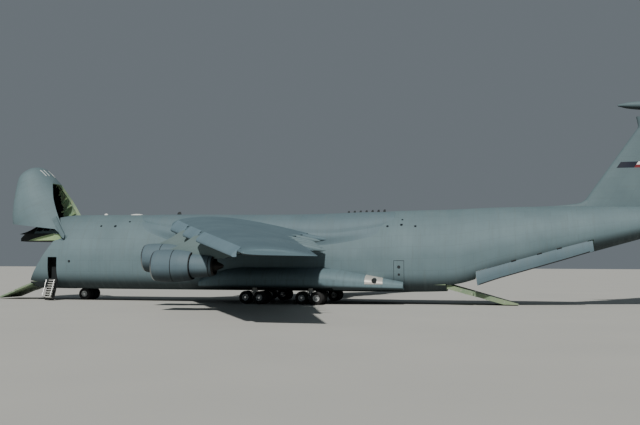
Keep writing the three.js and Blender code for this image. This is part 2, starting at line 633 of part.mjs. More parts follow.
// Columns: z, leading edge x, trailing edge x, thickness ratio
const FIN = [
  [8.9, 60.4, 71.0, 0.1],
  [9.9, 61.5, 71.25, 0.11],
  [17.85, 67.2, 73.4, 0.11],
];
const finSection = (z, lead, trail, thickness) => aerofoil(thickness, 0).map(([u, v]) =>
  [lead + u * (trail - lead), v * (trail - lead), z]);
const finAt = (z) => {
  const upper = FIN.findIndex((row) => row[0] >= z);
  const [a, b] = [FIN[upper - 1], FIN[upper]];
  const part = (z - a[0]) / (b[0] - a[0]);
  return a.map((value, column) => value + part * (b[column] - value));
};
const RUDDER_PART = 0.75;
const finHinge = (z) => {
  const [, lead, trail, thickness] = finAt(z);
  const half = aerofoil(thickness, 0).find(([u]) => u === 0.75)[1] * (trail - lead);
  return { at: [lead + RUDDER_PART * (trail - lead), 0, z], half };
};

function rudderRegion(z0, z1) {
  const prism = (gap, aft) => loft([z0 + gap, z1 - gap].map((z) => {
    const [x] = finHinge(z).at;
    const far = aft ? x + 5 : x - 0.6;
    return [[x, -3, z], [far, -3, z], [far, 3, z], [x, 3, z]];
  }));
  return { inner: prism(END_GAP, true), ahead: prism(END_GAP, false), outer: prism(0, true), aheadOuter: prism(0, false) };
}

// Columns: name, z low, z high
const RUDDERS = [['lower', 9.95, 13.9], ['upper', 13.9, 17.6]];
let fin = loft(FIN.map((row) => finSection(...row)));
RUDDERS.forEach(([name, z0, z1]) => {
  const low = finHinge(z0);
  const high = finHinge(z1);
  const split = splitSurface(fin, low.at, high.at, low.half, high.half, rudderRegion(z0, z1));
  fin = split.fixed;
  addMesh(`rudder_${name}`, split.moving, greyPaint);
});
addMesh('fin', fin.subtract(hullClear), greyPaint);

// Tailplane with its bullet fairing and elevators, which trim together on the fin's top

// Columns as for the fuselage, then the height of the widest point
const BULLET = [
  [64.7, 18.9, 19.06, 0.08, 2, 2, 18.98],
  [65.6, 18.66, 19.25, 0.36, 2, 2, 18.98],
  [67.2, 18.46, 19.35, 0.52, 2, 2, 18.92],
  [70.5, 18.1, 19.35, 0.55, 2, 2, 18.8],
  [72.6, 17.95, 19.2, 0.42, 2, 2, 18.75],
  [74.3, 18.6, 18.85, 0.1, 2, 2, 18.72],
];
const bullet = loft(BULLET.map(([x, low, high, half, lowPower, highPower, middle]) =>
  hullRing(x, low, high, half, lowPower, highPower, middle)));

// Columns: y, leading edge x and z, trailing edge x and z, thickness ratio
const TAILPLANE = [
  [0.0, 67.0, 18.78, 73.3, 18.72, 0.1],
  [10.47, 72.9, 18.08, 75.3, 18.06, 0.095],
];
const tailRow = (y) => {
  const part = y / TAILPLANE[1][0];
  return TAILPLANE[0].map((value, column) => value + part * (TAILPLANE[1][column] - value));
};
const tailHinge = (y) => {
  const [, leadX, leadZ, trailX, trailZ, thickness] = tailRow(y);
  const chord = trailX - leadX;
  const half = aerofoil(thickness, 0).find(([u]) => u === 0.75)[1] * chord;
  return { at: [leadX + 0.75 * chord, y, leadZ + 0.75 * (trailZ - leadZ)], half };
};
function elevatorRegion(y0, y1) {
  const prism = (gap, aft) => loft([y0 + gap, y1 - gap].map((y) => {
    const [x] = tailHinge(y).at;
    const far = aft ? x + 3 : x - 0.6;
    return [[x, y, 15], [far, y, 15], [far, y, 21], [x, y, 21]];
  }));
  return { inner: prism(END_GAP, true), ahead: prism(END_GAP, false), outer: prism(0, true), aheadOuter: prism(0, false) };
}
const tailSection = (y, leadX, leadZ, trailX, trailZ, thickness) => aerofoil(thickness, 0).map(([u, v]) =>
  [leadX + u * (trailX - leadX), y, leadZ + u * (trailZ - leadZ) + v * (trailX - leadX)]);
const halfTail = loft(TAILPLANE.map((row) => tailSection(...row)));
const ELEVATOR = { y0: 0.75, y1: 9.9 };
const elevatorRoot = tailHinge(ELEVATOR.y0);
const elevatorTip = tailHinge(ELEVATOR.y1);
const splitTail = splitSurface(halfTail, elevatorRoot.at, elevatorTip.at, elevatorRoot.half, elevatorTip.half,
  elevatorRegion(ELEVATOR.y0, ELEVATOR.y1));
addMesh('tailplane', unite([bullet, splitTail.fixed, mirrored(splitTail.fixed)]), greyPaint);
SIDES.forEach(([name, side]) => {
  addMesh(`elevator_${name}`, side > 0 ? splitTail.moving : mirrored(splitTail.moving), greyPaint);
});

// Main gear pods on the fuselage sides

// Columns: x, bottom z, top z, outer y
const PODS = [
  [24.4, 1.5, 2.3, 3.7],
  [26.4, 1.36, 3.1, 4.9],
  [29.0, 1.33, 3.5, 5.65],
  [36.8, 1.33, 3.5, 5.65],
  [40.2, 1.35, 3.0, 5.0],
  [44.6, 1.42, 2.2, 3.75],
];
const POD_MIDDLE_Y = 2.6;
const pod = loft(PODS.map(([x, low, high, outer]) =>
  hullRing(x, low, high, outer - POD_MIDDLE_Y, 4, 2.4, low + 0.45 * (high - low), POD_MIDDLE_Y)));
const podPanel = pod.intersect(block(20, 50, 2.0, 7, 0, 6));
SIDES.forEach(([name, side]) => {
  addMesh(`gear_pod_${name}`, (side > 0 ? podPanel : mirrored(podPanel)).subtract(hullClear), greyPaint);
});

// Wheels: tyres of one axle and the axle itself are one turned solid

function wheelSet(x, y, offsets) {
  const half = TYRE_WIDTH / 2;
  const axle = 0.09;
  const shoulder = 0.09;
  const profile = [[offsets[0] - half - 0.06, 0], [offsets[0] - half - 0.06, axle]];
  offsets.forEach((offset) => {
    profile.push(
      [offset - half + 0.02, axle], [offset - half, TYRE_RADIUS - shoulder], [offset - half + shoulder, TYRE_RADIUS],
      [offset + half - shoulder, TYRE_RADIUS], [offset + half, TYRE_RADIUS - shoulder], [offset + half - 0.02, axle],
    );
  });
  const last = offsets[offsets.length - 1] + half + 0.06;
  profile.push([last, axle], [last, 0]);
  const set = turned(profile, [0, 0, 0], [0, 1, 0], WHEEL_SIDES);
  return set.translate([x, y, TYRE_RADIUS]);
}

const AXLE_HOLE = 0.12;
const SINGLE_AXLE = [-0.4, 0.4];
const DOUBLE_AXLE = [-1.09, -0.4, 0.4, 1.09];

MAIN_GEAR_X.forEach((x, index) => {
  const row = ['front', 'rear'][index];
  SIDES.forEach(([name, side]) => {
    const y = side * MAIN_GEAR_Y;
    const strut = bar([x, y, 0.72], [x, y, 1.33 - SEAM], 0.2, 0.2, 12);
    const beam = block(x - AXLE_REACH - 0.18, x + AXLE_REACH + 0.18, y - 0.12, y + 0.12, 0.46, 0.8);
    const holes = [-1, 1].map((end) =>
      bar([x + end * AXLE_REACH, y - 0.5, TYRE_RADIUS], [x + end * AXLE_REACH, y + 0.5, TYRE_RADIUS], AXLE_HOLE));
    addMesh(`main_gear_${row}_${name}`, carve(strut.add(beam), holes), gearPaint);
    addMesh(`main_wheels_${row}_${name}_lead`, wheelSet(x - AXLE_REACH, y, SINGLE_AXLE), tyreRubber);
    addMesh(`main_wheels_${row}_${name}_trail`, wheelSet(x + AXLE_REACH, y, DOUBLE_AXLE), tyreRubber);
  });
});

// Nose gear: fixed leg in its bay, steered fork, four wheels on one axle

const noseLeg = bar([NOSE_GEAR_X, 0, 1.32], [NOSE_GEAR_X, 0, NOSE_BAY.top - SEAM], 0.26, 0.26, 16);
addMesh('nose_gear_leg', noseLeg, gearPaint);
const forkHole = bar([NOSE_GEAR_X, -0.5, TYRE_RADIUS], [NOSE_GEAR_X, 0.5, TYRE_RADIUS], AXLE_HOLE);
const fork = bar([NOSE_GEAR_X, 0, 0.7], [NOSE_GEAR_X, 0, 1.3], 0.18, 0.18, 16)
  .add(block(NOSE_GEAR_X - 0.2, NOSE_GEAR_X + 0.2, -0.14, 0.14, 0.45, 0.85))
  .subtract(forkHole);
addMesh('nose_gear_fork', fork, gearPaint);
addMesh('nose_wheels', wheelSet(NOSE_GEAR_X, 0, [-1.07, -0.42, 0.42, 1.07]), tyreRubber);

const transport = new THREE.Group();
transport.add(plane);
transport.updateMatrixWorld(true);

export default transport;
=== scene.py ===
import math
import bpy
from mathutils import Matrix, Vector


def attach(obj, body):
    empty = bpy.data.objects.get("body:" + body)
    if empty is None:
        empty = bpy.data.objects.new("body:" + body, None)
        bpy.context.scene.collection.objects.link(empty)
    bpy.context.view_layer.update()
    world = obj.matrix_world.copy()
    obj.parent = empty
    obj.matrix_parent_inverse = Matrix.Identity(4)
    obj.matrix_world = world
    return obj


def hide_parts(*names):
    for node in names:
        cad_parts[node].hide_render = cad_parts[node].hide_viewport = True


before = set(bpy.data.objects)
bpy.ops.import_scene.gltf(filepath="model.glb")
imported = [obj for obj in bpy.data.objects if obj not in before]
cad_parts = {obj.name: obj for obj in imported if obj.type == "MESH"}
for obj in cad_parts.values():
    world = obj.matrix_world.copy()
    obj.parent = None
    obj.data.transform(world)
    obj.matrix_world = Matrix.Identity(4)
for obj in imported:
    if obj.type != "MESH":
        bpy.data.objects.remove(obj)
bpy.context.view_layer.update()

# Camera, floor and light. The plane is seen from its left, level with the lower hull, from 40 m away at half
# size. One high, nearly broadside light and a soft sky stand in for a clear day over a pale apron.
MIDDLE_X = 38.3006
HALF = 0.5


def frame_point(x, y, z):
    """A point in metres of the real aircraft, x aft of the closed nose, brought into the half-size frame"""
    return Vector(((x - MIDDLE_X) * HALF, y * HALF, z * HALF))


def look_from(eye, yaw, pitch, roll, lens):
    """A camera on the aircraft's left, turned a little towards its nose"""
    ahead = Vector((-math.sin(yaw) * math.cos(pitch), math.cos(yaw) * math.cos(pitch), math.sin(pitch)))
    across = Vector((math.cos(yaw), math.sin(yaw), 0))
    upward = across.cross(ahead)
    side = across * math.cos(roll) + upward * math.sin(roll)
    top = upward * math.cos(roll) - across * math.sin(roll)
    camera = bpy.data.objects.new("camera", bpy.data.cameras.new("camera"))
    camera.data.lens = lens
    camera.data.sensor_width = 36
    camera.data.sensor_fit = "HORIZONTAL"
    camera.data.clip_end = 2000
    camera.matrix_world = Matrix.Translation(eye) @ Matrix((side, top, -ahead)).transposed().to_4x4()
    bpy.context.scene.collection.objects.link(camera)
    bpy.context.scene.camera = camera


look_from(frame_point(52.0271, -81.287, 3.6273), yaw=0.19593, pitch=0.06515, roll=0.00468, lens=46.231)

COLOURS = {"data_type": "RGBA"}
TIMES = {"operation": "MULTIPLY"}


def srgb(code):
    """A hex colour as the linear values that the shaders take"""
    parts = [int(code[i:i + 2], 16) / 255 for i in (1, 3, 5)]
    return tuple([p / 12.92 if p < 0.04045 else ((p + 0.055) / 1.055) ** 2.4 for p in parts] + [1.0])


def add(tree, kind, settings=None, **links):
    """Adds a node with its settings; each link names an input and gives its value or the output that feeds it"""
    made = tree.nodes.new(kind)
    for key, value in (settings or {}).items():
        setattr(made, key, value)
    for key, value in links.items():
        entry = made.inputs[int(key[1:])] if key[1:].isdigit() else made.inputs[key.replace("_", " ")]
        if isinstance(value, bpy.types.NodeSocket):
            tree.links.new(value, entry)
        else:
            entry.default_value = value
    return made


def new_finish(name):
    """A material with an empty node tree and its output"""
    made = bpy.data.materials.new(name)
    made.use_nodes = True
    made.node_tree.nodes.clear()
    return made, made.node_tree


def coat(tree, colour, roughness, bump=None, **fixed):
    """The surface shader at the end of each material"""
    shader = add(tree, "ShaderNodeBsdfPrincipled", Base_Color=colour, Roughness=roughness, **fixed)
    if bump is not None:
        tree.links.new(bump, shader.inputs["Normal"])
    out = add(tree, "ShaderNodeOutputMaterial")
    tree.links.new(shader.outputs[0], out.inputs["Surface"])


def apron_concrete():
    """Pale brushed concrete: matt, with faint cloudy tone"""
    made, tree = new_finish("pale_concrete_floor")
    place = add(tree, "ShaderNodeTexCoord").outputs["Object"]
    cloud = add(tree, "ShaderNodeTexNoise", Vector=place, Scale=0.22, Detail=4.0)
    tone = add(tree, "ShaderNodeMix", COLOURS, Factor=cloud.outputs[0], i6=srgb("#a5a6a2"), i7=srgb("#b0b0ab"))
    coat(tree, tone.outputs[2], 0.85)
    return made


def deselect():
    """Nothing is selected and no mesh is being edited"""
    if bpy.context.object and bpy.context.object.mode != "OBJECT":
        bpy.ops.object.mode_set(mode="OBJECT")
    bpy.ops.object.select_all(action="DESELECT")


FLOOR_RADIUS = 900
deselect()
bpy.ops.mesh.primitive_circle_add(vertices=96, radius=FLOOR_RADIUS, fill_type="NGON", location=(0, 0, 0))
floor = bpy.context.object
floor.name = "floor"
floor.data.materials.append(apron_concrete())

SKY_STRENGTH = 0.27
sky = bpy.data.worlds.new("soft_sky")
sky.use_nodes = True
sky.node_tree.nodes["Background"].inputs["Color"].default_value = srgb("#c3d0da")
sky.node_tree.nodes["Background"].inputs["Strength"].default_value = SKY_STRENGTH
bpy.context.scene.world = sky

SUN_STRENGTH = 4.3
SUN_WIDTH = math.radians(2.5)
SUN_TRAVEL = (-0.03, 0.67, -0.74)
sun = bpy.data.objects.new("key_light", bpy.data.lights.new("key_light", "SUN"))
sun.data.energy = SUN_STRENGTH
sun.data.angle = SUN_WIDTH
sun.data.color = (1.0, 0.97, 0.92)
sun.rotation_euler = Vector(SUN_TRAVEL).to_track_quat("-Z", "Y").to_euler()
bpy.context.scene.collection.objects.link(sun)

# Fuselage: riveted aluminium skin over frames and stringers, in satin grey aircraft paint. Three barrels are
# joined at production breaks, with a slanted rim round the nose opening and a long cut for the aft doors.

# Columns: x, bottom z, top z, half width, power of the lower half, power of the upper half
HULL = [
    (0.5, 4.2, 5.6, 1.0, 2.3, 2.3), (0.7, 3.85, 5.95, 1.45, 2.2, 2.2), (1.1, 3.4, 6.3, 2.0, 2.1, 2.0),
    (2.4, 2.65, 6.8, 2.65, 2.3, 2.0), (4.0, 1.8, 7.3, 3.12, 2.6, 1.9), (5.6, 1.27, 8.1, 3.4, 3.0, 1.8),
    (7.5, 1.17, 8.72, 3.53, 3.2, 1.75), (9.7, 1.15, 8.95, 3.56, 3.3, 1.75), (16.5, 1.15, 8.95, 3.56, 3.3, 1.75),
    (21.0, 1.15, 8.66, 3.56, 3.3, 1.75), (37.0, 1.15, 8.66, 3.56, 3.3, 1.75), (44.0, 1.15, 9.12, 3.56, 3.3, 1.75),
    (48.5, 1.25, 9.2, 3.5, 3.2, 1.75), (53.7, 2.71, 9.38, 3.28, 2.8, 1.8), (59.0, 4.2, 9.43, 2.85, 2.5, 1.9),
    (64.0, 5.6, 9.4, 2.1, 2.2, 2.0), (68.0, 6.73, 9.35, 1.35, 2.0, 2.0), (70.3, 7.4, 9.2, 0.7, 2.0, 2.0),
]


def row_at(table, at):
    """The row of a table at a station, on smooth curves that never leave the span of their neighbours"""
    last = len(table) - 1
    i = next((k for k in range(last) if at <= table[k + 1][0]), last - 1)
    a, b = table[i], table[i + 1]
    span = b[0] - a[0]
    t = min(max((at - a[0]) / span, 0), 1)
    row = [at]
    for column in range(1, len(a)):
        slopes = [(table[k + 1][column] - table[k][column]) / (table[k + 1][0] - table[k][0])
                  for k in (max(i - 1, 0), i, min(i + 1, last - 1))]
        ends = [2 * p * q / (p + q) if p * q > 0 else 0 for p, q in zip(slopes, slopes[1:])]
        row.append((2 * t ** 3 - 3 * t ** 2 + 1) * a[column] + (t ** 3 - 2 * t ** 2 + t) * span * ends[0]
                   + (3 * t ** 2 - 2 * t ** 3) * b[column] + (t ** 3 - t ** 2) * span * ends[1])
    return row


def wide_z(bottom, top):
    """The height at which the hull is widest"""
    return max(4.1, bottom + 0.42 * (top - bottom))


def rounded_ring(x, bottom, top, half, low, high, middle, centre=0.0, count=96):
    """A ring across the aircraft, nearly round above its widest height and boxier below"""
    ring = []
    for k in range(count):
        across, up = math.cos(2 * math.pi * (k + 0.5) / count), math.sin(2 * math.pi * (k + 0.5) / count)
        power = high if up > 0 else low
        height = top - middle if up > 0 else middle - bottom
        ring.append((x, centre + math.copysign(half * abs(across) ** (2 / power), across),
                     middle + math.copysign(height * abs(up) ** (2 / power), up)))
    return ring


def hull_ring(x, inset=0.0, count=96):
    """The hull's outline at a station, moved in by a wall"""
    _, bottom, top, half, low, high = row_at(HULL, x)
    shift = inset * (1 - x / 5) * 1.4 if x < 5 else 0
    middle = wide_z(bottom, top)
    return rounded_ring(x + shift, bottom + inset, top - inset, half - inset, low, high, middle, 0.0, count)


def hull_side(x, z):
    """The hull's half width at a station and a height"""
    _, bottom, top, half, low, high = row_at(HULL, x)
    middle = wide_z(bottom, top)
    power, height = (high, top - middle) if z > middle else (low, middle - bottom)
    return half * max(1 - abs((z - middle) / height) ** power, 0) ** (1 / power)


def skin(name, rings, finish=None):
    """A skin over rings of equally many points: a grid whose rows are moved onto them, joined and capped.
    Its UV map runs in metres along the rings and around them, for panel lines and streaks."""
    count = len(rings[0])
    deselect()
    bpy.ops.mesh.primitive_grid_add(x_subdivisions=count, y_subdivisions=len(rings) - 1, size=1, location=(0, 0, 0))
    piece = bpy.context.object
    piece.name = piece.data.name = name
    mesh = piece.data
    for i, vertex in enumerate(mesh.vertices):
        vertex.co = rings[i // (count + 1)][i % (count + 1) % count]
    mids = [sum((Vector(p) for p in ring), Vector()) / count for ring in rings]
    along = [0.0]
    for a, b in zip(mids, mids[1:]):
        along.append(along[-1] + (b - a).length)
    widest = max(rings, key=lambda ring: sum((Vector(p) - Vector(q)).length for p, q in zip(ring, ring[1:])))
    girth = [0.0]
    for p, q in zip(widest, widest[1:] + widest[:1]):
        girth.append(girth[-1] + (Vector(q) - Vector(p)).length)
    places = mesh.uv_layers.active.data
    for loop in mesh.loops:
        places[loop.index].uv = (along[loop.vertex_index // (count + 1)], girth[loop.vertex_index % (count + 1)])
    bpy.ops.object.mode_set(mode="EDIT")
    bpy.ops.mesh.select_all(action="SELECT")
    bpy.ops.mesh.remove_doubles(threshold=0.0001)
    bpy.ops.mesh.fill_holes(sides=0)
    bpy.ops.mesh.normals_make_consistent(inside=False)
    bpy.ops.object.mode_set(mode="OBJECT")
    if finish:
        mesh.materials.append(finish)
    return piece


def block(name, x, y, z, finish=None, bevel=0.0):
    """A box between pairs of limits, with its edges broken"""
    deselect()
    bpy.ops.mesh.primitive_cube_add(size=1, location=(0, 0, 0))
    piece = bpy.context.object
    piece.name = piece.data.name = name
    sizes = Vector((x[1] - x[0], y[1] - y[0], z[1] - z[0]))
    middle = Vector((x[0] + x[1], y[0] + y[1], z[0] + z[1])) / 2
    piece.data.transform(Matrix.Translation(middle) @ Matrix.Diagonal(sizes).to_4x4())
    if bevel:
        bpy.ops.object.mode_set(mode="EDIT")
        bpy.ops.mesh.select_all(action="SELECT")
        bpy.ops.mesh.bevel(offset=bevel, segments=2, affect="EDGES")
        bpy.ops.object.mode_set(mode="OBJECT")
    if finish:
        piece.data.materials.append(finish)
    return piece


def side_plate(name, outline, y, finish=None):
    """A side outline of x and z given a width across y"""
    return skin(name, [[(px, py, pz) for px, pz in outline] for py in y], finish)


def cut(piece, *tools, operation="DIFFERENCE"):
    """Cuts a piece by closed tools, which are used up; cut faces take the tool's material"""
    for tool in tools:
        deselect()
        piece.select_set(True)
        bpy.context.view_layer.objects.active = piece
        change = piece.modifiers.new("change", "BOOLEAN")
        change.operation, change.solver, change.object, change.material_mode = operation, "EXACT", tool, "TRANSFER"
        bpy.ops.object.modifier_apply(modifier=change.name)
        bpy.data.objects.remove(tool, do_unlink=True)
    return piece


def keep(piece, tool):
    """Keeps what lies inside a tool"""
    return cut(piece, tool, operation="INTERSECT")


def weld(piece, tool):
    """Makes one solid of two"""
    return cut(piece, tool, operation="UNION")


def assign(piece, finish, test):
    """Gives another finish to the faces whose middle passes a test"""
    piece.data.materials.append(finish)
    index = len(piece.data.materials) - 1
    for face in piece.data.polygons:
        if test(face.center):
            face.material_index = index
    return piece


def join(name, pieces):
    """Makes one object of several"""
    deselect()
    for piece in pieces:
        piece.select_set(True)
    bpy.context.view_layer.objects.active = pieces[0]
    bpy.ops.object.join()
    pieces[0].name = pieces[0].data.name = name
    return pieces[0]


def twin(piece, name, across=False):
    """A copy with its own mesh, mirrored to the other side of the aircraft if asked"""
    made = piece.copy()
    made.data = piece.data.copy()
    made.name = made.data.name = name
    bpy.context.scene.collection.objects.link(made)
    if across:
        made.data.transform(Matrix.Diagonal((1, -1, 1, 1)))
        made.data.flip_normals()
    return made


def row_of(piece, count, step):
    """A piece and its copies, evenly spaced aft"""
    made = [piece]
    for k in range(1, count):
        made.append(twin(piece, f"{piece.name}_{k}"))
        made[-1].data.transform(Matrix.Translation((k * step, 0, 0)))
    return made


def turn(piece, point, axis, degrees):
    """Turns a piece about a hinge of the real aircraft"""
    there = Matrix.Translation(Vector(point))
    piece.data.transform(there @ Matrix.Rotation(math.radians(degrees), 4, Vector(axis)) @ there.inverted())
    return piece


SMOOTH_ANGLE = math.radians(32)


def fit(piece, body, slot, *nodes):
    """Brings a finished piece into the half-size frame, smooths it and fixes it to its body"""
    piece.data.transform(Matrix.Scale(HALF, 4) @ Matrix.Translation((-MIDDLE_X, 0, 0)))
    deselect()
    piece.select_set(True)
    bpy.context.view_layer.objects.active = piece
    bpy.ops.object.shade_smooth_by_angle(angle=SMOOTH_ANGLE)
    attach(piece, body)
    if nodes:
        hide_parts(*nodes)


def fit_pair(piece, name, body, slot, *nodes):
    """Copies a right hand piece to the left and fits both; {} stands for the side in names"""
    other = twin(piece, name.format("left"), across=True)
    piece.name = piece.data.name = name.format("right")
    for part, side in ((piece, "right"), (other, "left")):
        fit(part, body.format(side), slot, *(node.format(side) for node in nodes))


# The frames are 508 mm apart, and the wave texture draws 3.2 bands to the metre at a scale of 1
FRAME_PITCH = 0.508
WAVES_PER_METRE = 3.2


def aircraft_paint(name, base, faded, panel=(2.4, 1.15), streaks=0.5, grime="#5f6b6c"):
    """Satin polyurethane paint on riveted aluminium: slightly cloudy from fading and touching up, each panel a
    little different, with dark sealant in the joints and dirt washed along the surface. Painted shade darkens
    what faces down strongly and the crown a little. Real joints are 3 mm wide and are drawn 40 mm wide so that they
    show. The panel sizes are those of real sheets, in metres."""
    made, tree = new_finish(name)
    coords = add(tree, "ShaderNodeTexCoord")
    metres = coords.outputs["UV"]
    place = coords.outputs["Object"]
    cloud = add(tree, "ShaderNodeTexNoise", Vector=place, Scale=0.55, Detail=5.0, Roughness=0.6)
    flow = add(tree, "ShaderNodeMapping", Vector=metres, Scale=(3.2, 0.22, 1.0))
    wash = add(tree, "ShaderNodeTexNoise", Vector=flow.outputs[0], Scale=1.0, Detail=4.0, Roughness=0.65)
    sheets = add(tree, "ShaderNodeTexBrick", {"offset": 0.37}, Vector=metres, Scale=1.0, Color1=(0, 0, 0, 1),
                 Color2=(1, 1, 1, 1), Mortar=(0.5, 0.5, 0.5, 1), Mortar_Size=0.02, Mortar_Smooth=0.3,
                 Brick_Width=panel[0], Row_Height=panel[1])
    frames = add(tree, "ShaderNodeTexWave", {"wave_type": "BANDS", "bands_direction": "X"}, Vector=metres,
                 Scale=1.0 / FRAME_PITCH / WAVES_PER_METRE, Distortion=0.0, Detail=0.0)
    tone = add(tree, "ShaderNodeMapRange", Value=cloud.outputs[0], From_Min=0.3, From_Max=0.7)
    worn = add(tree, "ShaderNodeMix", COLOURS, Factor=tone.outputs[0], i6=srgb(base), i7=srgb(faded))
    each = add(tree, "ShaderNodeMapRange", Value=sheets.outputs["Color"], To_Min=0.98, To_Max=1.02)
    ribs = add(tree, "ShaderNodeMapRange", Value=frames.outputs["Fac"], From_Min=0.0, From_Max=0.12,
               To_Min=0.985, To_Max=1.0)
    both = add(tree, "ShaderNodeMath", TIMES, i0=each.outputs[0], i1=ribs.outputs[0])
    # Painted shade: faces turned down are darkened to a quarter of their colour, and the crown to 0.82 of it
    facing = add(tree, "ShaderNodeSeparateXYZ", Vector=coords.outputs["Normal"]).outputs[2]
    belly = add(tree, "ShaderNodeMapRange", Value=facing, From_Min=-0.8, From_Max=-0.2, To_Min=0.25, To_Max=1.0)
    crown = add(tree, "ShaderNodeMapRange", Value=facing, From_Min=0.2, From_Max=0.9, To_Min=1.0, To_Max=0.82)
    painted_shade = add(tree, "ShaderNodeMath", TIMES, i0=belly.outputs[0], i1=crown.outputs[0])
    level = add(tree, "ShaderNodeMath", TIMES, i0=both.outputs[0], i1=painted_shade.outputs[0])
    shade = add(tree, "ShaderNodeVectorMath", {"operation": "SCALE"}, i0=worn.outputs[2], Scale=level.outputs[0])
    dirt = add(tree, "ShaderNodeMapRange", Value=wash.outputs[0], From_Min=0.5, From_Max=0.8, To_Min=0.0,
               To_Max=streaks)
    washed = add(tree, "ShaderNodeMix", COLOURS, Factor=dirt.outputs[0], i6=shade.outputs[0], i7=srgb(grime))
    seal = add(tree, "ShaderNodeMath", TIMES, i0=sheets.outputs["Fac"], i1=0.16)
    lined = add(tree, "ShaderNodeMix", COLOURS, Factor=seal.outputs[0], i6=washed.outputs[2], i7=srgb("#3f4849"))
    rough = add(tree, "ShaderNodeMapRange", Value=wash.outputs[0], To_Min=0.58, To_Max=0.76)
    ridge = add(tree, "ShaderNodeMath", {"operation": "SUBTRACT"}, i0=ribs.outputs[0], i1=sheets.outputs["Fac"])
    relief = add(tree, "ShaderNodeBump", Strength=0.12, Distance=0.006, Height=ridge.outputs[0])
    coat(tree, lined.outputs[2], rough.outputs[0], relief.outputs[0], Specular_IOR_Level=0.3)
    return made


def worn_paint(name, base, faded, roughness=(0.4, 0.65), size=2.2, metal=0.0, chips=None):
    """Paint or bare metal on small parts: cloudy tone at a given grain in metres, and worn spots"""
    made, tree = new_finish(name)
    place = add(tree, "ShaderNodeTexCoord").outputs["Object"]
    cloud = add(tree, "ShaderNodeTexNoise", Vector=place, Scale=1.0 / size, Detail=6.0, Roughness=0.65)
    fine = add(tree, "ShaderNodeTexNoise", Vector=place, Scale=9.0 / size, Detail=3.0)
    tone = add(tree, "ShaderNodeMapRange", Value=cloud.outputs[0], From_Min=0.32, From_Max=0.68)
    colour = add(tree, "ShaderNodeMix", COLOURS, Factor=tone.outputs[0], i6=srgb(base), i7=srgb(faded)).outputs[2]
    if chips:
        spots = add(tree, "ShaderNodeMapRange", Value=fine.outputs[0], From_Min=0.6, From_Max=0.7, To_Max=0.8)
        colour = add(tree, "ShaderNodeMix", COLOURS, Factor=spots.outputs[0], i6=colour, i7=srgb(chips)).outputs[2]
    rough = add(tree, "ShaderNodeMapRange", Value=fine.outputs[0], To_Min=roughness[0], To_Max=roughness[1])
    relief = add(tree, "ShaderNodeBump", Strength=0.15, Distance=0.004, Height=fine.outputs[0])
    coat(tree, colour, rough.outputs[0], relief.outputs[0], Metallic=metal, Specular_IOR_Level=0.3)
    return made


hull_paint = aircraft_paint("satin_grey_aircraft_paint", "#5e7278", "#677b81")
lining_paint = worn_paint("green_primer_on_hold_structure", "#6f9274", "#a3b886", chips="#c9cdb4")
# Near black that stands in for the shade in recesses, holes, bays, coves and gaps, on the flight deck's foot under the
# visor and on the crew lobby's wall: painted shade
painted_shade_black = worn_paint("near_black_painted_shade", "#15191b", "#22282a", roughness=(0.7, 0.9))
rubber_seal = worn_paint("black_rubber_door_seal", "#1a1c1d", "#26292a", roughness=(0.6, 0.8))

# The number of frames in the hold, its section as y and z, and the hinge that carries the visor
HOLD_FRAMES = 42
HOLD = [(-2.89, 1.9), (2.89, 1.9), (2.89, 5.45), (2.34, 6.0), (-2.34, 6.0), (-2.89, 5.45)]
HINGE = (9.4, 0.0, 6.6)


def hold_tool(x0, x1):
    """The hold's inside between two stations"""
    return skin("hold_tool", [[(x, y, z) for y, z in HOLD] for x in (x0, x1)], lining_paint)


def rim_x(z):
    """Where the slanted rim of the nose opening is at a height"""
    return 5.25 + (z - 1.2) * (8.36 - 5.25) / 4.9


def nose_tool(offset, finish=lining_paint):
    """What lies ahead of the slanted rim, with the tongue of the visor that reaches its hinge"""
    outline = [(-2, 0), (rim_x(0) + offset, 0), (8.36 + offset, 6.1 - 0.8 * offset), (9.12 + offset, 6.42 - offset),
               (9.12 + offset, 6.78 + offset), (7.9, 6.9 + offset), (-2, 6.9 + offset)]
    return side_plate("nose_tool", outline, (-5, 5), finish)


def lathe(name, profile, origin, sides, finish, axis="x"):
    """A body of turned shape: a profile of distances along its axis and radii"""
    rings = []
    for along, radius in profile:
        ring = []
        for k in range(sides):
            u, v = radius * math.cos(2 * math.pi * k / sides), radius * math.sin(2 * math.pi * k / sides)
            offset = {"x": (along, u, v), "y": (u, along, v), "z": (u, v, along)}[axis]
            ring.append(tuple(o + d for o, d in zip(origin, offset)))
        rings.append(ring)
    return skin(name, rings, finish)


def deck_sweep(clearance, finish=lining_paint):
    """The space that the flight deck's lower edge sweeps about the visor's hinge"""
    reach = []
    x = HINGE[0] - 0.2
    while x > 3.0:
        reach.append((max(hull_side(x, 6.9) + 1.5 * clearance, 0.05), math.hypot(HINGE[0] - x, 0.3) + clearance))
        x -= 0.25
    half = [(2.92, 0.001), (2.92, reach[0][1])] + reach
    profile = [(-y, r) for y, r in half] + half[::-1]
    return lathe("sweep_tool", profile, HINGE, 96, finish, axis="y")


def pipe(name, a, b, radius, finish, sides=16, end=None):
    """A round bar between two points, tapered if its end has a radius of its own"""
    a, b = Vector(a), Vector(b)
    end = radius if end is None else end
    deselect()
    bpy.ops.mesh.primitive_cone_add(vertices=sides, radius1=radius, radius2=end, depth=(b - a).length,
                                    location=(0, 0, 0))
    piece = bpy.context.object
    piece.name = piece.data.name = name
    piece.data.transform(Matrix.Translation((a + b) / 2) @ (b - a).to_track_quat("Z", "Y").to_matrix().to_4x4())
    piece.data.materials.append(finish)
    return piece


def stations(*spans):
    """Places along the aircraft, each span given as start, end and number of steps"""
    return sorted({round(a + (b - a) * k / n, 4) for a, b, n in spans for k in range(n + 1)})


def hull_skin(name, finish, *spans, inset=0.0, count=96):
    """A closed skin that follows the hull"""
    return skin(name, [hull_ring(x, inset, count) for x in stations(*spans)], finish)


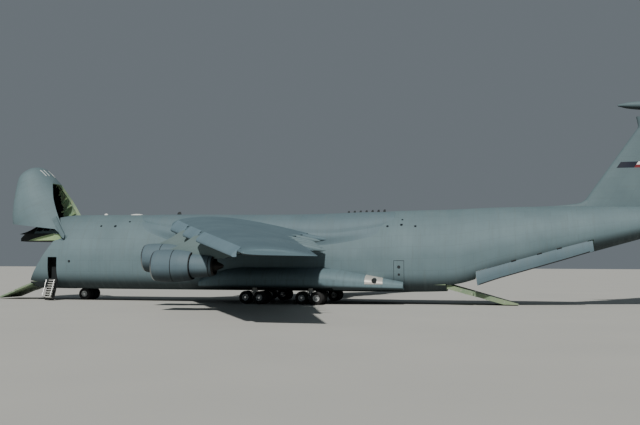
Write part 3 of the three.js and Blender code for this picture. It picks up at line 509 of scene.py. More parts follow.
def hull_frame(name, x, half, outer, inner, finish):
    """A hoop that follows the hull between two depths inside its skin"""
    corners = ((-half, outer), (half, outer), (half, inner), (-half, inner))
    faces = [hull_ring(x + across, depth, 72) for across, depth in corners]
    rings = [tuple(face[k] for face in faces) for k in range(72)]
    return skin(name, rings + rings[:1], finish)


# Columns: x start, x end, z low, z high of the side windows; y limits of the windshield panes
SIDE_WINDOWS = [(5.75, 6.55, 7.18, 7.72), (6.7, 7.5, 7.2, 7.78), (7.65, 8.3, 7.25, 7.78)]
FRONT_PANES = [(-1.75, -0.95), (-0.85, -0.05), (0.05, 0.85), (0.95, 1.75)]
CREW_DOOR = {"x": (8.0, 9.0), "z": (2.2, 4.44)}

front = hull_skin("forward_hull_skin", hull_paint, (0.6, 7.5, 30), (7.5, 19.4994, 24))
cut(front, nose_tool(0.015))
# The flight deck's tub: primer where lit, and near black over the rest as the painted shadow of the raised visor
TUB = [(4.7, 6.18), (9.3, 6.18), (9.3, 7.0), (8.46, 7.0)]
SHADED_TUB = [(3.3, 6.13), (9.3, 6.13), (9.3, 6.18), (4.7, 6.18), (8.46, 7.0), (4.3, 7.0), (3.3, 6.45)]
for outline, finish in ((TUB, lining_paint), (SHADED_TUB, painted_shade_black)):
    weld(front, keep(deck_sweep(-0.05, finish), side_plate("tub_tool", outline, (-4, 4), finish)))
cut(front, hold_tool(4, 20.5), block("toe_tool", (4.8, 6.05), (-2.5, 2.5), (1.5, 2.1), lining_paint))
deck_space = hull_skin("deck_tool", lining_paint, (3.6, 11.6, 16), inset=0.16, count=48)
sill = block("sill_tool", (3, 9.25), (-4, 4), (6.4, 6.95), lining_paint)
cut(sill, deck_sweep(-0.15))
cut(deck_space, block("deck_low_tool", (3, 12), (-4, 4), (3.0, 6.5)), sill)
cut(front, deck_space)
for x0, x1, z0, z1 in SIDE_WINDOWS:
    cut(front, block("pane_tool", (x0, x1), (-4, 4), (z0, z1), rubber_seal, bevel=0.08))
for y0, y1 in FRONT_PANES:
    cut(front, block("pane_tool", (3.2, 5.55), (y0, y1), (7.3, 7.85), rubber_seal))
# The nose gear bay's faces are near black: painted shade
cut(front, block("door_tool", CREW_DOOR["x"], (-4.2, -2.7), CREW_DOOR["z"], rubber_seal),
    pipe("bay_tool", (11.0, 0, 0), (11.0, 0, 1.75), 1.5, painted_shade_black, 48))
for side in (-1, 1):
    cut(front, block("ear_tool", (7.9, 9.15), sorted((2.88 * side, 4.2 * side)), (6.22, 7.2), hull_paint),
        block("ear_tool", (9.1, 9.4), sorted((2.88 * side, 3.2 * side)), (6.22, 7.2), hull_paint),
        pipe("ear_tool", (9.4, 2.88 * side, 6.6), (9.4, 3.2 * side, 6.6), 0.46, hull_paint, 32))
# Painted shade: the hull's top ahead of the windshield, under the raised visor, is near black
assign(front, painted_shade_black, lambda c: c.x < 5.7 and c.z > 6.9 and abs(c.y) < 2.6)
fit(front, "root", "grey_paint", "forward_fuselage")

centre = hull_skin("centre_hull_skin", hull_paint, (19.5, 43.9994, 40))
fit(cut(centre, hold_tool(18, 46)), "root", "grey_paint", "centre_fuselage")

# The petal doors' ends, and the ends of the right one's hinge line
PETAL = {"x0": 51.3, "x1": 62.0, "hinge0": (51.3, 3.17, 3.2), "hinge1": (62.0, 2.42, 6.2)}


def taper_tool(first, second, finish):
    """A tapered block between two upright rectangles of x, half width, low and high z"""
    rings = [[(x, -w, z0), (x, w, z0), (x, w, z1), (x, -w, z1)] for x, w, z0, z1 in (first, second)]
    return skin("taper_tool", rings, finish)


aft = hull_skin("aft_hull_skin", hull_paint, (44.0, 70.3, 52))
cut(aft, hold_tool(19.5, 48.7), taper_tool((48.6, 2.8, 0, 6.0), (62.0, 1.95, 0, 7.3), lining_paint),
    taper_tool((51.3, 5, 0, 3.2), (62.0, 5, 0, 6.2), lining_paint))
fit(aft, "root", "grey_paint", "aft_fuselage")

# Cargo hold: extruded aluminium deck with roller rails, and frames and rails on the walls in green primer. The
# frames are riveted inside the skin every metre; the deck is one panel laid on the lower frames.
deck_paint = worn_paint("worn_green_deck_paint", "#68806a", "#8d9c7c", roughness=(0.45, 0.75), size=1.2,
                        chips="#a5a79c")
rail_metal = worn_paint("bare_aluminium_rail", "#a3a6a5", "#bcbebb", roughness=(0.28, 0.5), size=0.4, metal=0.85)

inner = [(-2.72, 1.98), (-2.72, 5.38), (-2.27, 5.83), (2.27, 5.83), (2.72, 5.38), (2.72, 1.98)]
outer = [(-2.93, 1.98), (-2.93, 5.47), (-2.36, 6.04), (2.36, 6.04), (2.93, 5.47), (2.93, 1.98)]
hoop = skin("hold_frame", [[(6.6, *o), (6.72, *o), (6.72, *i), (6.6, *i)] for o, i in zip(outer, inner)], lining_paint)
hoops = join("hold_frames", row_of(hoop, HOLD_FRAMES, 1))
lobby_tool = block("lobby_tool", (7.85, 9.15), (-3.2, -2.64), (2.1, 4.6), lining_paint)
lining = [cut(hoops, nose_tool(0.1), lobby_tool)]
for side in (-1, 1):
    wall = sorted((2.78 * side, 2.92 * side))
    for z in (2.55, 3.3, 4.1, 4.9):
        start = rim_x(z) + 0.25 if side > 0 else 9.4
        lining.append(block("wall_rail", (start, 48.4), wall, (z, z + 0.12), lining_paint, bevel=0.02))
    duct = sorted((1.5 * side, 1.8 * side))
    lining.append(block("ceiling_duct", (8.7, 47.5), duct, (5.72, 5.98), lining_paint, bevel=0.06))
fit(join("hold_frames_and_rails", lining), "root", "primer")
# The lobby's wall is near black: painted shade inside the crew door
LOBBY = [(7.6, 2.0), (9.3, 2.0), (9.3, 4.5), (9.1, 4.65), (7.8, 4.65), (7.6, 4.5)]
fit(side_plate("lobby_wall", LOBBY, (-2.62, -2.56), painted_shade_black), "root", "primer")

deck = [block("deck_panel", (6.1, 48.55), (-2.8888, 2.8888), (1.9012, 2.0), deck_paint, bevel=0.004)]
for y in (-2.1, -1.35, -0.35, 0.35, 1.35, 2.1):
    deck.append(block("roller_rail", (6.4, 48.2), (y - 0.07, y + 0.07), (1.98, 2.035), rail_metal, bevel=0.012))
fit(join("cargo_deck_with_rails", deck), "root", "primer", "cargo_floor")

# Flight deck glass: laminated panes with a dark tint, clamped in rubber behind the openings of the upper nose.
# A console and two seats of grey painted aluminium stand behind them.


def tinted_glass():
    """Laminated glass: nearly black from outside, very smooth, with faint smears"""
    made, tree = new_finish("tinted_laminated_glass")
    place = add(tree, "ShaderNodeTexCoord").outputs["Object"]
    smear = add(tree, "ShaderNodeTexNoise", Vector=place, Scale=3.0, Detail=4.0)
    tone = add(tree, "ShaderNodeMix", COLOURS, Factor=smear.outputs[0], i6=srgb("#0e161b"), i7=srgb("#1b2a33"))
    rough = add(tree, "ShaderNodeMapRange", Value=smear.outputs[0], To_Min=0.04, To_Max=0.14)
    coat(tree, tone.outputs[2], rough.outputs[0], IOR=1.5, Coat_Weight=0.6, Coat_Roughness=0.03)
    return made


glass_finish = tinted_glass()
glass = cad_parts["flight_deck_glass"]
glass.data.materials.clear()
glass.data.materials.append(glass_finish)

cab_grey = worn_paint("grey_flight_deck_paint", "#59605f", "#6b7271", size=0.8)
cab = [block("console", (5.3, 5.9), (-1.5, 1.5), (6.5, 7.15), cab_grey, bevel=0.08),
       block("pedestal", (5.9, 6.9), (-0.3, 0.3), (6.5, 6.95), cab_grey, bevel=0.06)]
for y in (-0.95, 0.95):
    cab.append(block("seat_base", (6.5, 7.1), (y - 0.3, y + 0.3), (6.5, 6.98), cab_grey, bevel=0.07))
    cab.append(block("seat_back", (7.0, 7.2), (y - 0.3, y + 0.3), (6.95, 7.75), cab_grey, bevel=0.07))
fit(join("flight_deck_fittings", cab), "root", "grey_paint")

# Nose visor: the whole nose below the flight deck, a riveted shell with deep hoop frames in green primer. It is
# carried by an ear on each side and pushed up by a screw jack on each side, and stands raised by 64 degrees.
visor_green = worn_paint("teal_primer_inside_visor", "#6c9d87", "#b0c5a0", roughness=(0.5, 0.75), size=1.6,
                         chips="#c6cc9a")
# Black that stands in for the shade inside the visor: painted shade; the lit rest stays primer
visor_painted_shade = worn_paint("black_painted_shade_in_visor", "#101314", "#1b1f20", roughness=(0.7, 0.9), size=0.7)


def blanketed(c):
    """Whether a face inside the visor is painted black as shade: all but the upper right, which is seen lit from the
    left
    """
    return c.y < 1.2 or c.z < 5.55 - 0.5 * (c.x - 3.9)


VISOR_RAISED = 64
EAR = [(7.2, 6.25), (8.4, 6.27), (9.4, 6.4), (9.66, 6.6), (9.4, 6.8), (7.2, 6.75)]
shell = hull_skin("visor_shell", hull_paint, (0.5, 0.7, 4), (0.7, 1.1, 6), (1.1, 9.6, 36))
hollow = hull_skin("visor_hollow", visor_green, (0.7, 1.1, 6), (1.1, 9.9, 30), inset=0.2)
keep(shell, nose_tool(-0.015, hull_paint))
cut(shell, assign(hollow, visor_painted_shade, blanketed), deck_sweep(0.04, visor_green))
for side in (-1, 1):
    weld(shell, side_plate("visor_ear", EAR, sorted((2.9 * side, 3.1 * side)), hull_paint))

ribs = [hull_frame("visor_rib", x, 0.06, 0.16, 0.5, visor_green) for x in (0.9, 1.7, 2.6, 3.5, 4.4, 5.3, 6.2, 7.1)]
ribs = keep(assign(join("visor_ribs", ribs), visor_painted_shade, blanketed), nose_tool(-0.06, visor_green))
cut(ribs, deck_sweep(0.07))
stiffeners = [ribs]
for angle in (-150, -120, -95, -60, -30):
    path = []
    for x in (1.0, 2.0, 3.0, 4.2, 5.2):
        bottom, top, half = row_at(HULL, x)[1:4]
        mid = wide_z(bottom, top)
        if rim_x(mid + (mid - bottom) * math.sin(math.radians(angle))) > x + 0.2:
            path.append((x, (half - 0.3) * math.cos(math.radians(angle)),
                         mid + (mid - bottom - 0.3) * math.sin(math.radians(angle))))
    stiffeners += [pipe("visor_stringer", a, b, 0.05, visor_green, 8) for a, b in zip(path, path[1:])]
fit(turn(shell, HINGE, (0, 1, 0), VISOR_RAISED), "visor", "grey_paint", "nose_visor")
fit(turn(join("visor_frames", stiffeners), HINGE, (0, 1, 0), VISOR_RAISED), "visor", "primer")

jacks = [pipe("jack_tube", (8.35, 2.45 * side, 6.05), (7.9, 2.4 * side, 6.9), 0.1, rail_metal, 20) for side in (-1, 1)]
fit(join("visor_jack_housings", jacks), "root", "bare_metal")

# Lightning strips: short pale metal strips on the upper side of the radome, which is the visor's tip. They are
# glued to its skin and run fore and aft.
pale_streak = worn_paint("pale_erosion_strip", "#c9cecb", "#e2e4e0", roughness=(0.35, 0.5), size=0.6)
runs = [block("strip_run", (1.2, 2.1), (y - 0.04, y + 0.04), (5.3, 7.4), pale_streak)
        for y in (-0.95, -0.5, 0.5, 0.95)]
strips = hull_skin("lightning_strips", pale_streak, (0.9, 3.0, 14), inset=-0.014)
cut(strips, hull_skin("strip_core", pale_streak, (0.7, 3.2, 16), inset=0.02))
fit(turn(keep(strips, join("strip_runs", runs)), HINGE, (0, 1, 0), VISOR_RAISED), "visor", "grey_paint")

# Forward loading ramp: two riveted box panels, hinged to each other and to the sill, with tread cleats across
# them and curbs along their edges. It lies open on the ground, and is painted in worn green deck paint.
RAMP = {"x": 5.95, "z": 1.98, "slope": -21.6, "length": 2.6}
CLEAT_STEP = 0.22
slope = math.radians(RAMP["slope"])
fold = (RAMP["x"] - RAMP["length"] * math.cos(slope), 0, RAMP["z"] + RAMP["length"] * math.sin(slope))


def treads(x0, x1, half, z):
    """Cleats across a ramp"""
    cleat = block("cleat", (x0, x0 + 0.05), (-half, half), (z - 0.01, z + 0.018), rail_metal, bevel=0.006)
    return row_of(cleat, int((x1 - x0) / CLEAT_STEP), CLEAT_STEP)


panel = block("ramp_panel", (3.35, 5.93), (-2.25, 2.25), (1.78, 1.962), deck_paint, bevel=0.02)
curbs = [block("ramp_curb", (3.4, 5.85), (y - 0.05, y + 0.05), (1.8, 1.98), rail_metal, bevel=0.015)
         for y in (-2.19, 2.19)]
ramp = join("forward_ramp_panel", [panel] + curbs + treads(3.5, 5.8, 2.05, 1.962))
fit(turn(ramp, (RAMP["x"], 0, RAMP["z"]), (0, 1, 0), RAMP["slope"]), "forward_ramp", "primer", "forward_ramp")

TOE = [(-2.4, -0.05), (-1.9, -0.18), (-0.03, -0.18), (-0.03, -0.018), (-2.4, -0.018)]
toe = side_plate("ramp_toe", TOE, (-2.05, 2.05), deck_paint)
toe = join("forward_ramp_toe", [toe] + treads(-2.25, -0.1, 1.9, -0.018))
toe.data.transform(Matrix.Translation(fold))
fit(turn(toe, fold, (0, 1, 0), RAMP["slope"]), "forward_ramp_extension", "primer", "forward_ramp_extension")

# Crew entrance door: a curved panel of the hull's aluminium skin that swings out and down on its sill. Its inner
# face is the stair, with steps on two side plates and a thin handrail on each side.
stair_white = worn_paint("worn_white_stair_paint", "#c4c6c2", "#d6d8d3", size=0.3, chips="#6f706c")
DOOR_SILL = (8.5, -3.22, 2.2)
DOOR_OPEN = 155
STEPS, STEP_RISE = 8, 0.26
door = hull_skin("crew_door_skin", hull_paint, (7.5, 9.5, 8))
cut(door, hull_skin("door_hollow", rubber_seal, (7.3, 9.7, 8), inset=0.12))
keep(door, block("door_tool", (8.015, 8.985), (-4.2, -2.7), (2.215, 4.425), rubber_seal))
stair = []
for k in range(STEPS):
    z = 2.4 + k * STEP_RISE
    stair.append(block("step", (8.14, 8.86), (-3.42, -3.06), (z, z + 0.05), stair_white, bevel=0.012))
for x in (8.1, 8.86):
    cheek = [(-3.42, 2.36), (-3.42, 4.32), (-3.2, 4.32), (-3.08, 2.36)]
    stair.append(side_plate("stair_cheek", cheek, (x, x + 0.04), rubber_seal))
    stair[-1].data.transform(Matrix(((0, 1, 0, 0), (1, 0, 0, 0), (0, 0, 1, 0), (0, 0, 0, 1))))
    stair[-1].data.flip_normals()
for x in (8.06, 8.94):
    stair.append(pipe("rail", (x, -2.75, 2.5), (x, -2.75, 4.3), 0.022, rail_metal, 10))
    stair += [pipe("rail_post", (x, -3.4, z), (x, -2.75, z), 0.018, rail_metal, 10) for z in (2.5, 3.4, 4.3)]
door = join("crew_door_with_stair", [door] + stair)
fit(turn(door, DOOR_SILL, (1, 0, 0), DOOR_OPEN), "crew_door", "grey_paint", "crew_door")

# Wing to fuselage fairing: a riveted aluminium shell that covers the wing's centre box. It is screwed on over the
# hull's crown, and its edges run out onto the hull's sides.

# Columns as for the hull, then the height of the widest point
FAIRING = [
    (17.2, 7.9, 8.86, 1.3, 2, 2, 8.2), (19.5, 7.0, 8.93, 2.9, 2, 2, 7.7), (22.5, 6.1, 8.92, 3.9, 2.2, 2, 7.3),
    (28.0, 5.8, 8.85, 4.3, 2.4, 2.2, 7.1), (33.0, 5.8, 8.83, 4.3, 2.4, 2.2, 6.9), (37.0, 6.0, 8.9, 3.7, 2.2, 2, 6.8),
    (41.0, 6.6, 9.02, 2.9, 2, 2, 7.2), (43.6, 7.2, 9.02, 1.9, 2, 2, 7.8),
]


def flared_ring(x, grow=0.0):
    """The fairing's outline, whose lower half runs out onto the hull and closes inside the hull's wall"""
    _, low, high, half, _, high_power, middle = row_at(FAIRING, x)
    low -= 0.5
    half -= 0.5 * max(half - hull_side(x, middle), 0)
    upper = rounded_ring(x, low, high + grow, half + grow, 2, high_power, middle)[:48]
    bulge = max(half - hull_side(x, middle), 0)
    side = []
    for k in range(20):
        t = (k + 0.5) / 20
        z = middle - t * (middle - low)
        side.append((hull_side(x, z) + bulge * (1 - t * t * (3 - 2 * t)) - 0.03 * t + grow, z))
    wall = hull_side(x, low)
    side += [(wall - 0.2, low - 0.02), (min(3.1, wall - 0.3), low + 0.3), (min(3.0, wall - 0.4), max(6.3, low + 0.35)),
             (1.2, max(6.6, low + 0.4))]
    return upper + [(x, -y, z) for y, z in side] + [(x, y, z) for y, z in reversed(side)]


fairing_paint = aircraft_paint("satin_grey_fairing_paint", "#5a6e76", "#63777f")
fairing = skin("wing_fairing_skin", [flared_ring(x) for x in stations((17.2, 43.6, 60))], fairing_paint)
fit(fairing, "root", "grey_paint", "wing_fairing")

# Wings: riveted aluminium boxes with slats let down along the leading edge and flaps run a little way out
# behind. Upper skins are a bluer, darker grey than the hull. Ailerons hang on hinges near the tips.
wing_paint = aircraft_paint("satin_blue_grey_wing_paint", "#526872", "#5c727b", panel=(1.9, 2.6), streaks=0.3,
                            grime="#4f5a60")
slat_paint = aircraft_paint("satin_blue_grey_slat_paint", "#647c88", "#6e8692", panel=(1.9, 9.0), streaks=0.2)
cove_green = worn_paint("yellow_green_primer_in_coves", "#8b8f4e", "#a5a76a", size=0.8)

# Columns: y, leading edge x and z, trailing edge x and z, thickness ratio
WING = [(2.3, 20.93, 7.75, 35.35, 6.86, 0.12), (12.2, 26.2, 6.71, 35.75, 6.13, 0.115),
        (33.9, 37.8, 4.42, 42.5, 4.22, 0.105)]


def aerofoil(thickness, camber, spots):
    """Points of a section of unit chord, from the trailing edge over the top and back along the bottom"""
    def half(u):
        curve = 0.2969 * math.sqrt(u) - 0.126 * u - 0.3516 * u ** 2 + 0.2843 * u ** 3 - 0.1036 * u ** 4
        return 5 * thickness * curve + 0.0015 * u
    upper = [(u, camber * math.sin(math.pi * u) + half(u)) for u in reversed(spots)]
    return upper + [(u, camber * math.sin(math.pi * u) - half(u)) for u in spots[1:]]


def straight_row(table, at):
    """The row of a table at a station between its rows, on straight lines"""
    i = next((k for k in range(len(table) - 1) if at <= table[k + 1][0]), len(table) - 2)
    a, b = table[i], table[i + 1]
    part = (at - a[0]) / (b[0] - a[0])
    return [p + part * (q - p) for p, q in zip(a, b)]


# Places along a chord, a wing's camber, a control surface's hinge in parts of the chord, and the gaps about it
SPOTS = [(1 - math.cos(math.pi * k / 22)) / 2 for k in range(23)]
WING_CAMBER = 0.018
SURFACE_HINGE = 0.75
END_GAP = 0.07
COVE_GAP = 0.02


def wing_ring(y, scale=1.0, table=WING, camber=WING_CAMBER):
    """A wing's section at a distance from the middle, thinned by a scale"""
    _, lead_x, lead_z, trail_x, trail_z, thickness = straight_row(table, y)
    chord = trail_x - lead_x
    return [(lead_x + u * chord, y, lead_z + u * (trail_z - lead_z) + v * chord * scale)
            for u, v in aerofoil(thickness, camber, SPOTS)]


def wing_hinge(y, table=WING, camber=WING_CAMBER):
    """The point on a control surface's hinge line, and half the wing's thickness there"""
    _, lead_x, lead_z, trail_x, trail_z, thickness = straight_row(table, y)
    chord, part = trail_x - lead_x, SURFACE_HINGE
    high, low = [v for u, v in aerofoil(thickness, camber, [0, part, 1]) if u == part]
    spot = (lead_x + part * chord, y, lead_z + part * (trail_z - lead_z) + (high + low) / 2 * chord)
    return spot, (high - low) / 2 * chord


def split_surface(body, hinge, start, stop, reach, finish, upright=False):
    """Cuts a control surface off a wing or fin behind its hinge line, with a round nose in a round cove.
    It runs from start to stop along the span, and reach holds the limits of the cut across the section."""
    def region(gap, behind):
        rings = []
        for at in (start + gap, stop - gap):
            x = hinge(at)[0][0]
            near, far = (x, x + 5) if behind else (x + 0.001, x - 0.6)
            corners = [(near, reach[0]), (far, reach[0]), (far, reach[1]), (near, reach[1])]
            rings.append([(px, across, at) if upright else (px, at, across) for px, across in corners])
        return skin("surface_tool", rings, painted_shade_black)

    (a, radius_a), (b, radius_b) = ((Vector(spot), half) for spot, half in (hinge(start), hinge(stop)))
    ends = a + (a - b) * 0.05, b + (b - a) * 0.05
    r0, r1 = radius_a + (radius_a - radius_b) * 0.05, radius_b + (radius_b - radius_a) * 0.05
    moving = keep(twin(body, "moving_surface"), region(END_GAP, True))
    nose = pipe("surface_nose", *ends, r0, finish, 32, r1)
    weld(moving, keep(nose, weld(region(END_GAP, True), region(END_GAP, False))))
    # The cove and the gap's cut faces are near black: painted shade
    cove = pipe("surface_cove", *ends, r0 + COVE_GAP, painted_shade_black, 32, r1 + COVE_GAP)
    keep(cove, weld(region(0.0, True), region(0.0, False)))
    cut(body, region(0.0, True), cove)
    return moving


rings = [wing_ring(y) for y in stations((2.3, 12.2, 12), (12.2, 33.5, 26))]
rings += [wing_ring(33.8, 0.85), wing_ring(33.9, 0.5)]
wing = skin("wing_right_skin", rings, wing_paint)
aileron = split_surface(wing, wing_hinge, 24.2, 32.2, (0, 12), wing_paint)
cut(wing, skin("root_tool", [flared_ring(x, -0.05) for x in stations((17.2, 43.6, 30))], wing_paint))

# Columns: y start, y end of each slat and of each flap
SLATS = [(4.6, 11.5), (12.9, 18.4), (19.8, 32.8)]
FLAPS = [(4.6, 13.3), (13.5, 23.9)]
SLAT_DROOP = 0.42
FLAP_DROOP = math.radians(17)


def slat_ring(y):
    """The nose of the wing's section, moved ahead and turned down, with a hollow back"""
    _, lead_x, lead_z, trail_x, trail_z, thickness = straight_row(WING, y)
    chord = trail_x - lead_x
    part = (1.2 - 0.012 * y) / chord / 0.16
    section = aerofoil(thickness, WING_CAMBER,
                       [part * spot for spot in (0, 0.004, 0.014, 0.03, 0.055, 0.09, 0.13, 0.16)])
    top, bottom = section[:8], section[8:12]
    hollow = [(0.06 * part, bottom[-1][1] + 0.006 * part), (0.068 * part, 0.0), (0.09 * part, 0.03 * part),
              (0.125 * part, section[1][1] - 0.008 * part)]
    points = []
    for u, v in top + bottom + hollow:
        du, dv = u - 0.16 * part, v - section[0][1]
        turned_u = du * math.cos(SLAT_DROOP) - dv * math.sin(SLAT_DROOP)
        turned_v = du * math.sin(SLAT_DROOP) + dv * math.cos(SLAT_DROOP)
        points.append((0.055 * part + turned_u, section[0][1] - 0.006 * part + turned_v))
    return [(lead_x + u * chord, y, lead_z + u * (trail_z - lead_z) + v * chord) for u, v in points]


def flap_ring(y):
    """A flap run out behind the trailing edge and turned down"""
    _, lead_x, _, trail_x, trail_z, _ = straight_row(WING, y)
    length = 0.157 * (trail_x - lead_x)
    points = [(length * u - 0.25, length * v) for u, v in aerofoil(0.11, 0.02, [0, 0.03, 0.1, 0.25, 0.5, 0.75, 1])]
    c, s = math.cos(FLAP_DROOP), math.sin(FLAP_DROOP)
    return [(trail_x + u * c + v * s, y, trail_z - 0.16 - u * s + v * c) for u, v in points]


def oval(x, y, half, z, height, count):
    """An oval ring across the aircraft"""
    turns = [2 * math.pi * k / count for k in range(count)]
    return [(x, y + half * math.cos(a), z + height * math.sin(a)) for a in turns]


slats = [skin("slat", [slat_ring(y0 + (y1 - y0) * k / 8) for k in range(9)], slat_paint) for y0, y1 in SLATS]
flaps = [skin("flap", [flap_ring(y0 + (y1 - y0) * k / 6) for k in range(7)], wing_paint) for y0, y1 in FLAPS]

# Columns: y of each flap track fairing, length ahead of and behind the trailing edge, radius
TRACKS = [(6.2, 3.4, 2.3, 0.36), (9.4, 3.2, 2.2, 0.34), (12.6, 3.0, 2.2, 0.32), (15.8, 2.6, 2.1, 0.3),
          (19.0, 2.3, 2.0, 0.28), (22.2, 2.0, 1.9, 0.26)]
tracks = []
for y, ahead, behind, radius in TRACKS:
    _, _, _, trail_x, trail_z, _ = straight_row(WING, y)
    rings = []
    for k in range(15):
        t = k / 14
        x = trail_x - ahead + (ahead + behind) * t
        girth = radius * max(math.sin(math.pi * t ** 0.75) ** 0.55, 0.03)
        z = trail_z - 0.28 + 0.1 * (1 - t) - 0.5 * max(t - 0.5, 0) ** 1.3
        rings.append(oval(x, y, 0.75 * girth, z, 1.15 * girth, 20))
    tracks.append(skin("track_fairing", rings, hull_paint if y > 8 else wing_paint))
coves = []
for y in (10.9, 14.2):
    heights = (6.0 - 0.085 * (y - 12.2), 6.06 - 0.085 * (y - 12.2))
    coves.append(block("cove_panel", (35.2, 35.9), (y - 0.5, y + 0.5), heights, cove_green, bevel=0.02))
lamp = skin("tip_lamp", [[(37.95 + 0.45 * u, 33.86 + 0.045 * c * (1 - u), 4.42 + 0.05 * s)
                          for c, s in ((1, 0), (0, 1), (-1, 0), (0, -1))] for u in (0.0, 0.5, 0.95)], pale_streak)

fit_pair(wing, "wing_skin_{}", "root", "dark_paint", "wing_{}")
fit_pair(aileron, "aileron_skin_{}", "aileron_{}", "dark_paint", "aileron_{}")
for label, parts in (("slats", slats), ("flaps", flaps), ("flap_track_fairings", tracks), ("cove_panels", coves),
                     ("tip_lamp", [lamp])):
    fit_pair(join(label, parts), label + "_skin_{}", "root", "dark_paint")

# Engines: each has a short painted fan cowl with a polished lip, a long core cowl that tapers to a nozzle and plug
# near black from heat stain and painted shade, struts across the fan duct, and a fan of twisted titanium blades that
# turns on its own.
cowl_paint = aircraft_paint("satin_grey_cowl_paint", "#536771", "#5f727b", panel=(1.45, 2.05), streaks=0.3)
polished_lip = worn_paint("polished_aluminium_lip", "#8d9497", "#9ea4a6", roughness=(0.28, 0.42), size=0.7, metal=1.0)
duct_grey = worn_paint("light_grey_duct_paint", "#8f9799", "#9fa6a7", size=1.0)
# Near black for the nozzle and plug: heat stain and painted shade together
nozzle_stain_and_shade = worn_paint("heat_stained_nozzle_metal", "#1d1d1d", "#2c2a28", roughness=(0.45, 0.65), size=0.5, metal=0.5)
titanium = worn_paint("titanium_fan_blade", "#5d6266", "#71767a", roughness=(0.22, 0.4), size=0.3, metal=1.0)
pylon_paint = aircraft_paint("beige_grey_pylon_paint", "#5c6e6f", "#667879", panel=(1.2, 2.0), streaks=0.4)
cowl_joint = worn_paint("dark_cowl_joint", "#1b1f21", "#26292b", roughness=(0.6, 0.8))

# Columns: position, y, lip x, axis z; the profiles of cowl, core and spinner go aft from the lip, with radii
ENGINES = [("outer", 19.1, 26.25, 3.6), ("inner", 12.2, 22.5, 4.27)]
COWL = [
    (3.17, 1.075), (3.1, 1.11), (2.98, 1.15), (2.5, 1.235), (2.1, 1.285), (1.73, 1.297), (1.725, 1.275),
    (1.675, 1.275), (1.67, 1.298), (0.7, 1.295), (0.3, 1.262), (0.12, 1.225), (0.02, 1.19), (-0.02, 1.155),
    (0.0, 1.125), (0.1, 1.1), (0.3, 1.085), (0.6, 1.12), (0.9, 1.16), (1.6, 1.17), (2.2, 1.15), (3.17, 1.055),
]
CORE = [
    (1.25, 0.001), (1.25, 0.42), (1.7, 0.65), (2.2, 0.84), (2.7, 0.925), (3.2, 0.935), (3.9, 0.905), (4.6, 0.845),
    (4.605, 0.82), (4.655, 0.82), (4.66, 0.83), (4.85, 0.78), (5.0, 0.73), (5.0, 0.69), (4.75, 0.66), (4.7, 0.52),
    (4.95, 0.44), (5.3, 0.3), (5.65, 0.14), (5.75, 0.001),
]
SPINNER = [
    (0.35, 0.001), (0.38, 0.07), (0.45, 0.15), (0.6, 0.26), (0.8, 0.36), (1.15, 0.42), (1.2, 0.42), (1.2, 0.001),
]
STRUTS, BLADES = 14, 26
# A strut's and a blade's section as aft and across; a blade's stations as radius, twist and chord
STRUT = [(1.62, 0), (1.7, 0.022), (2.0, 0.02), (2.25, 0), (2.0, -0.02), (1.7, -0.022)]
BLADE_SECTION = [(-0.5, 0), (-0.25, 0.05), (0.1, 0.055), (0.5, 0), (0.1, 0.02), (-0.25, 0.012)]
BLADE = [(0.33, 28, 0.3), (0.5, 38, 0.3), (0.75, 50, 0.29), (0.95, 58, 0.28), (1.115, 63, 0.26)]


def around(piece, count, origin, name, first=0.0):
    """Copies of a piece about an axis that runs fore and aft"""
    made = []
    for k in range(count):
        made.append(turn(twin(piece, name), origin, (1, 0, 0), first + 360 * k / count))
    bpy.data.objects.remove(piece, do_unlink=True)
    return made


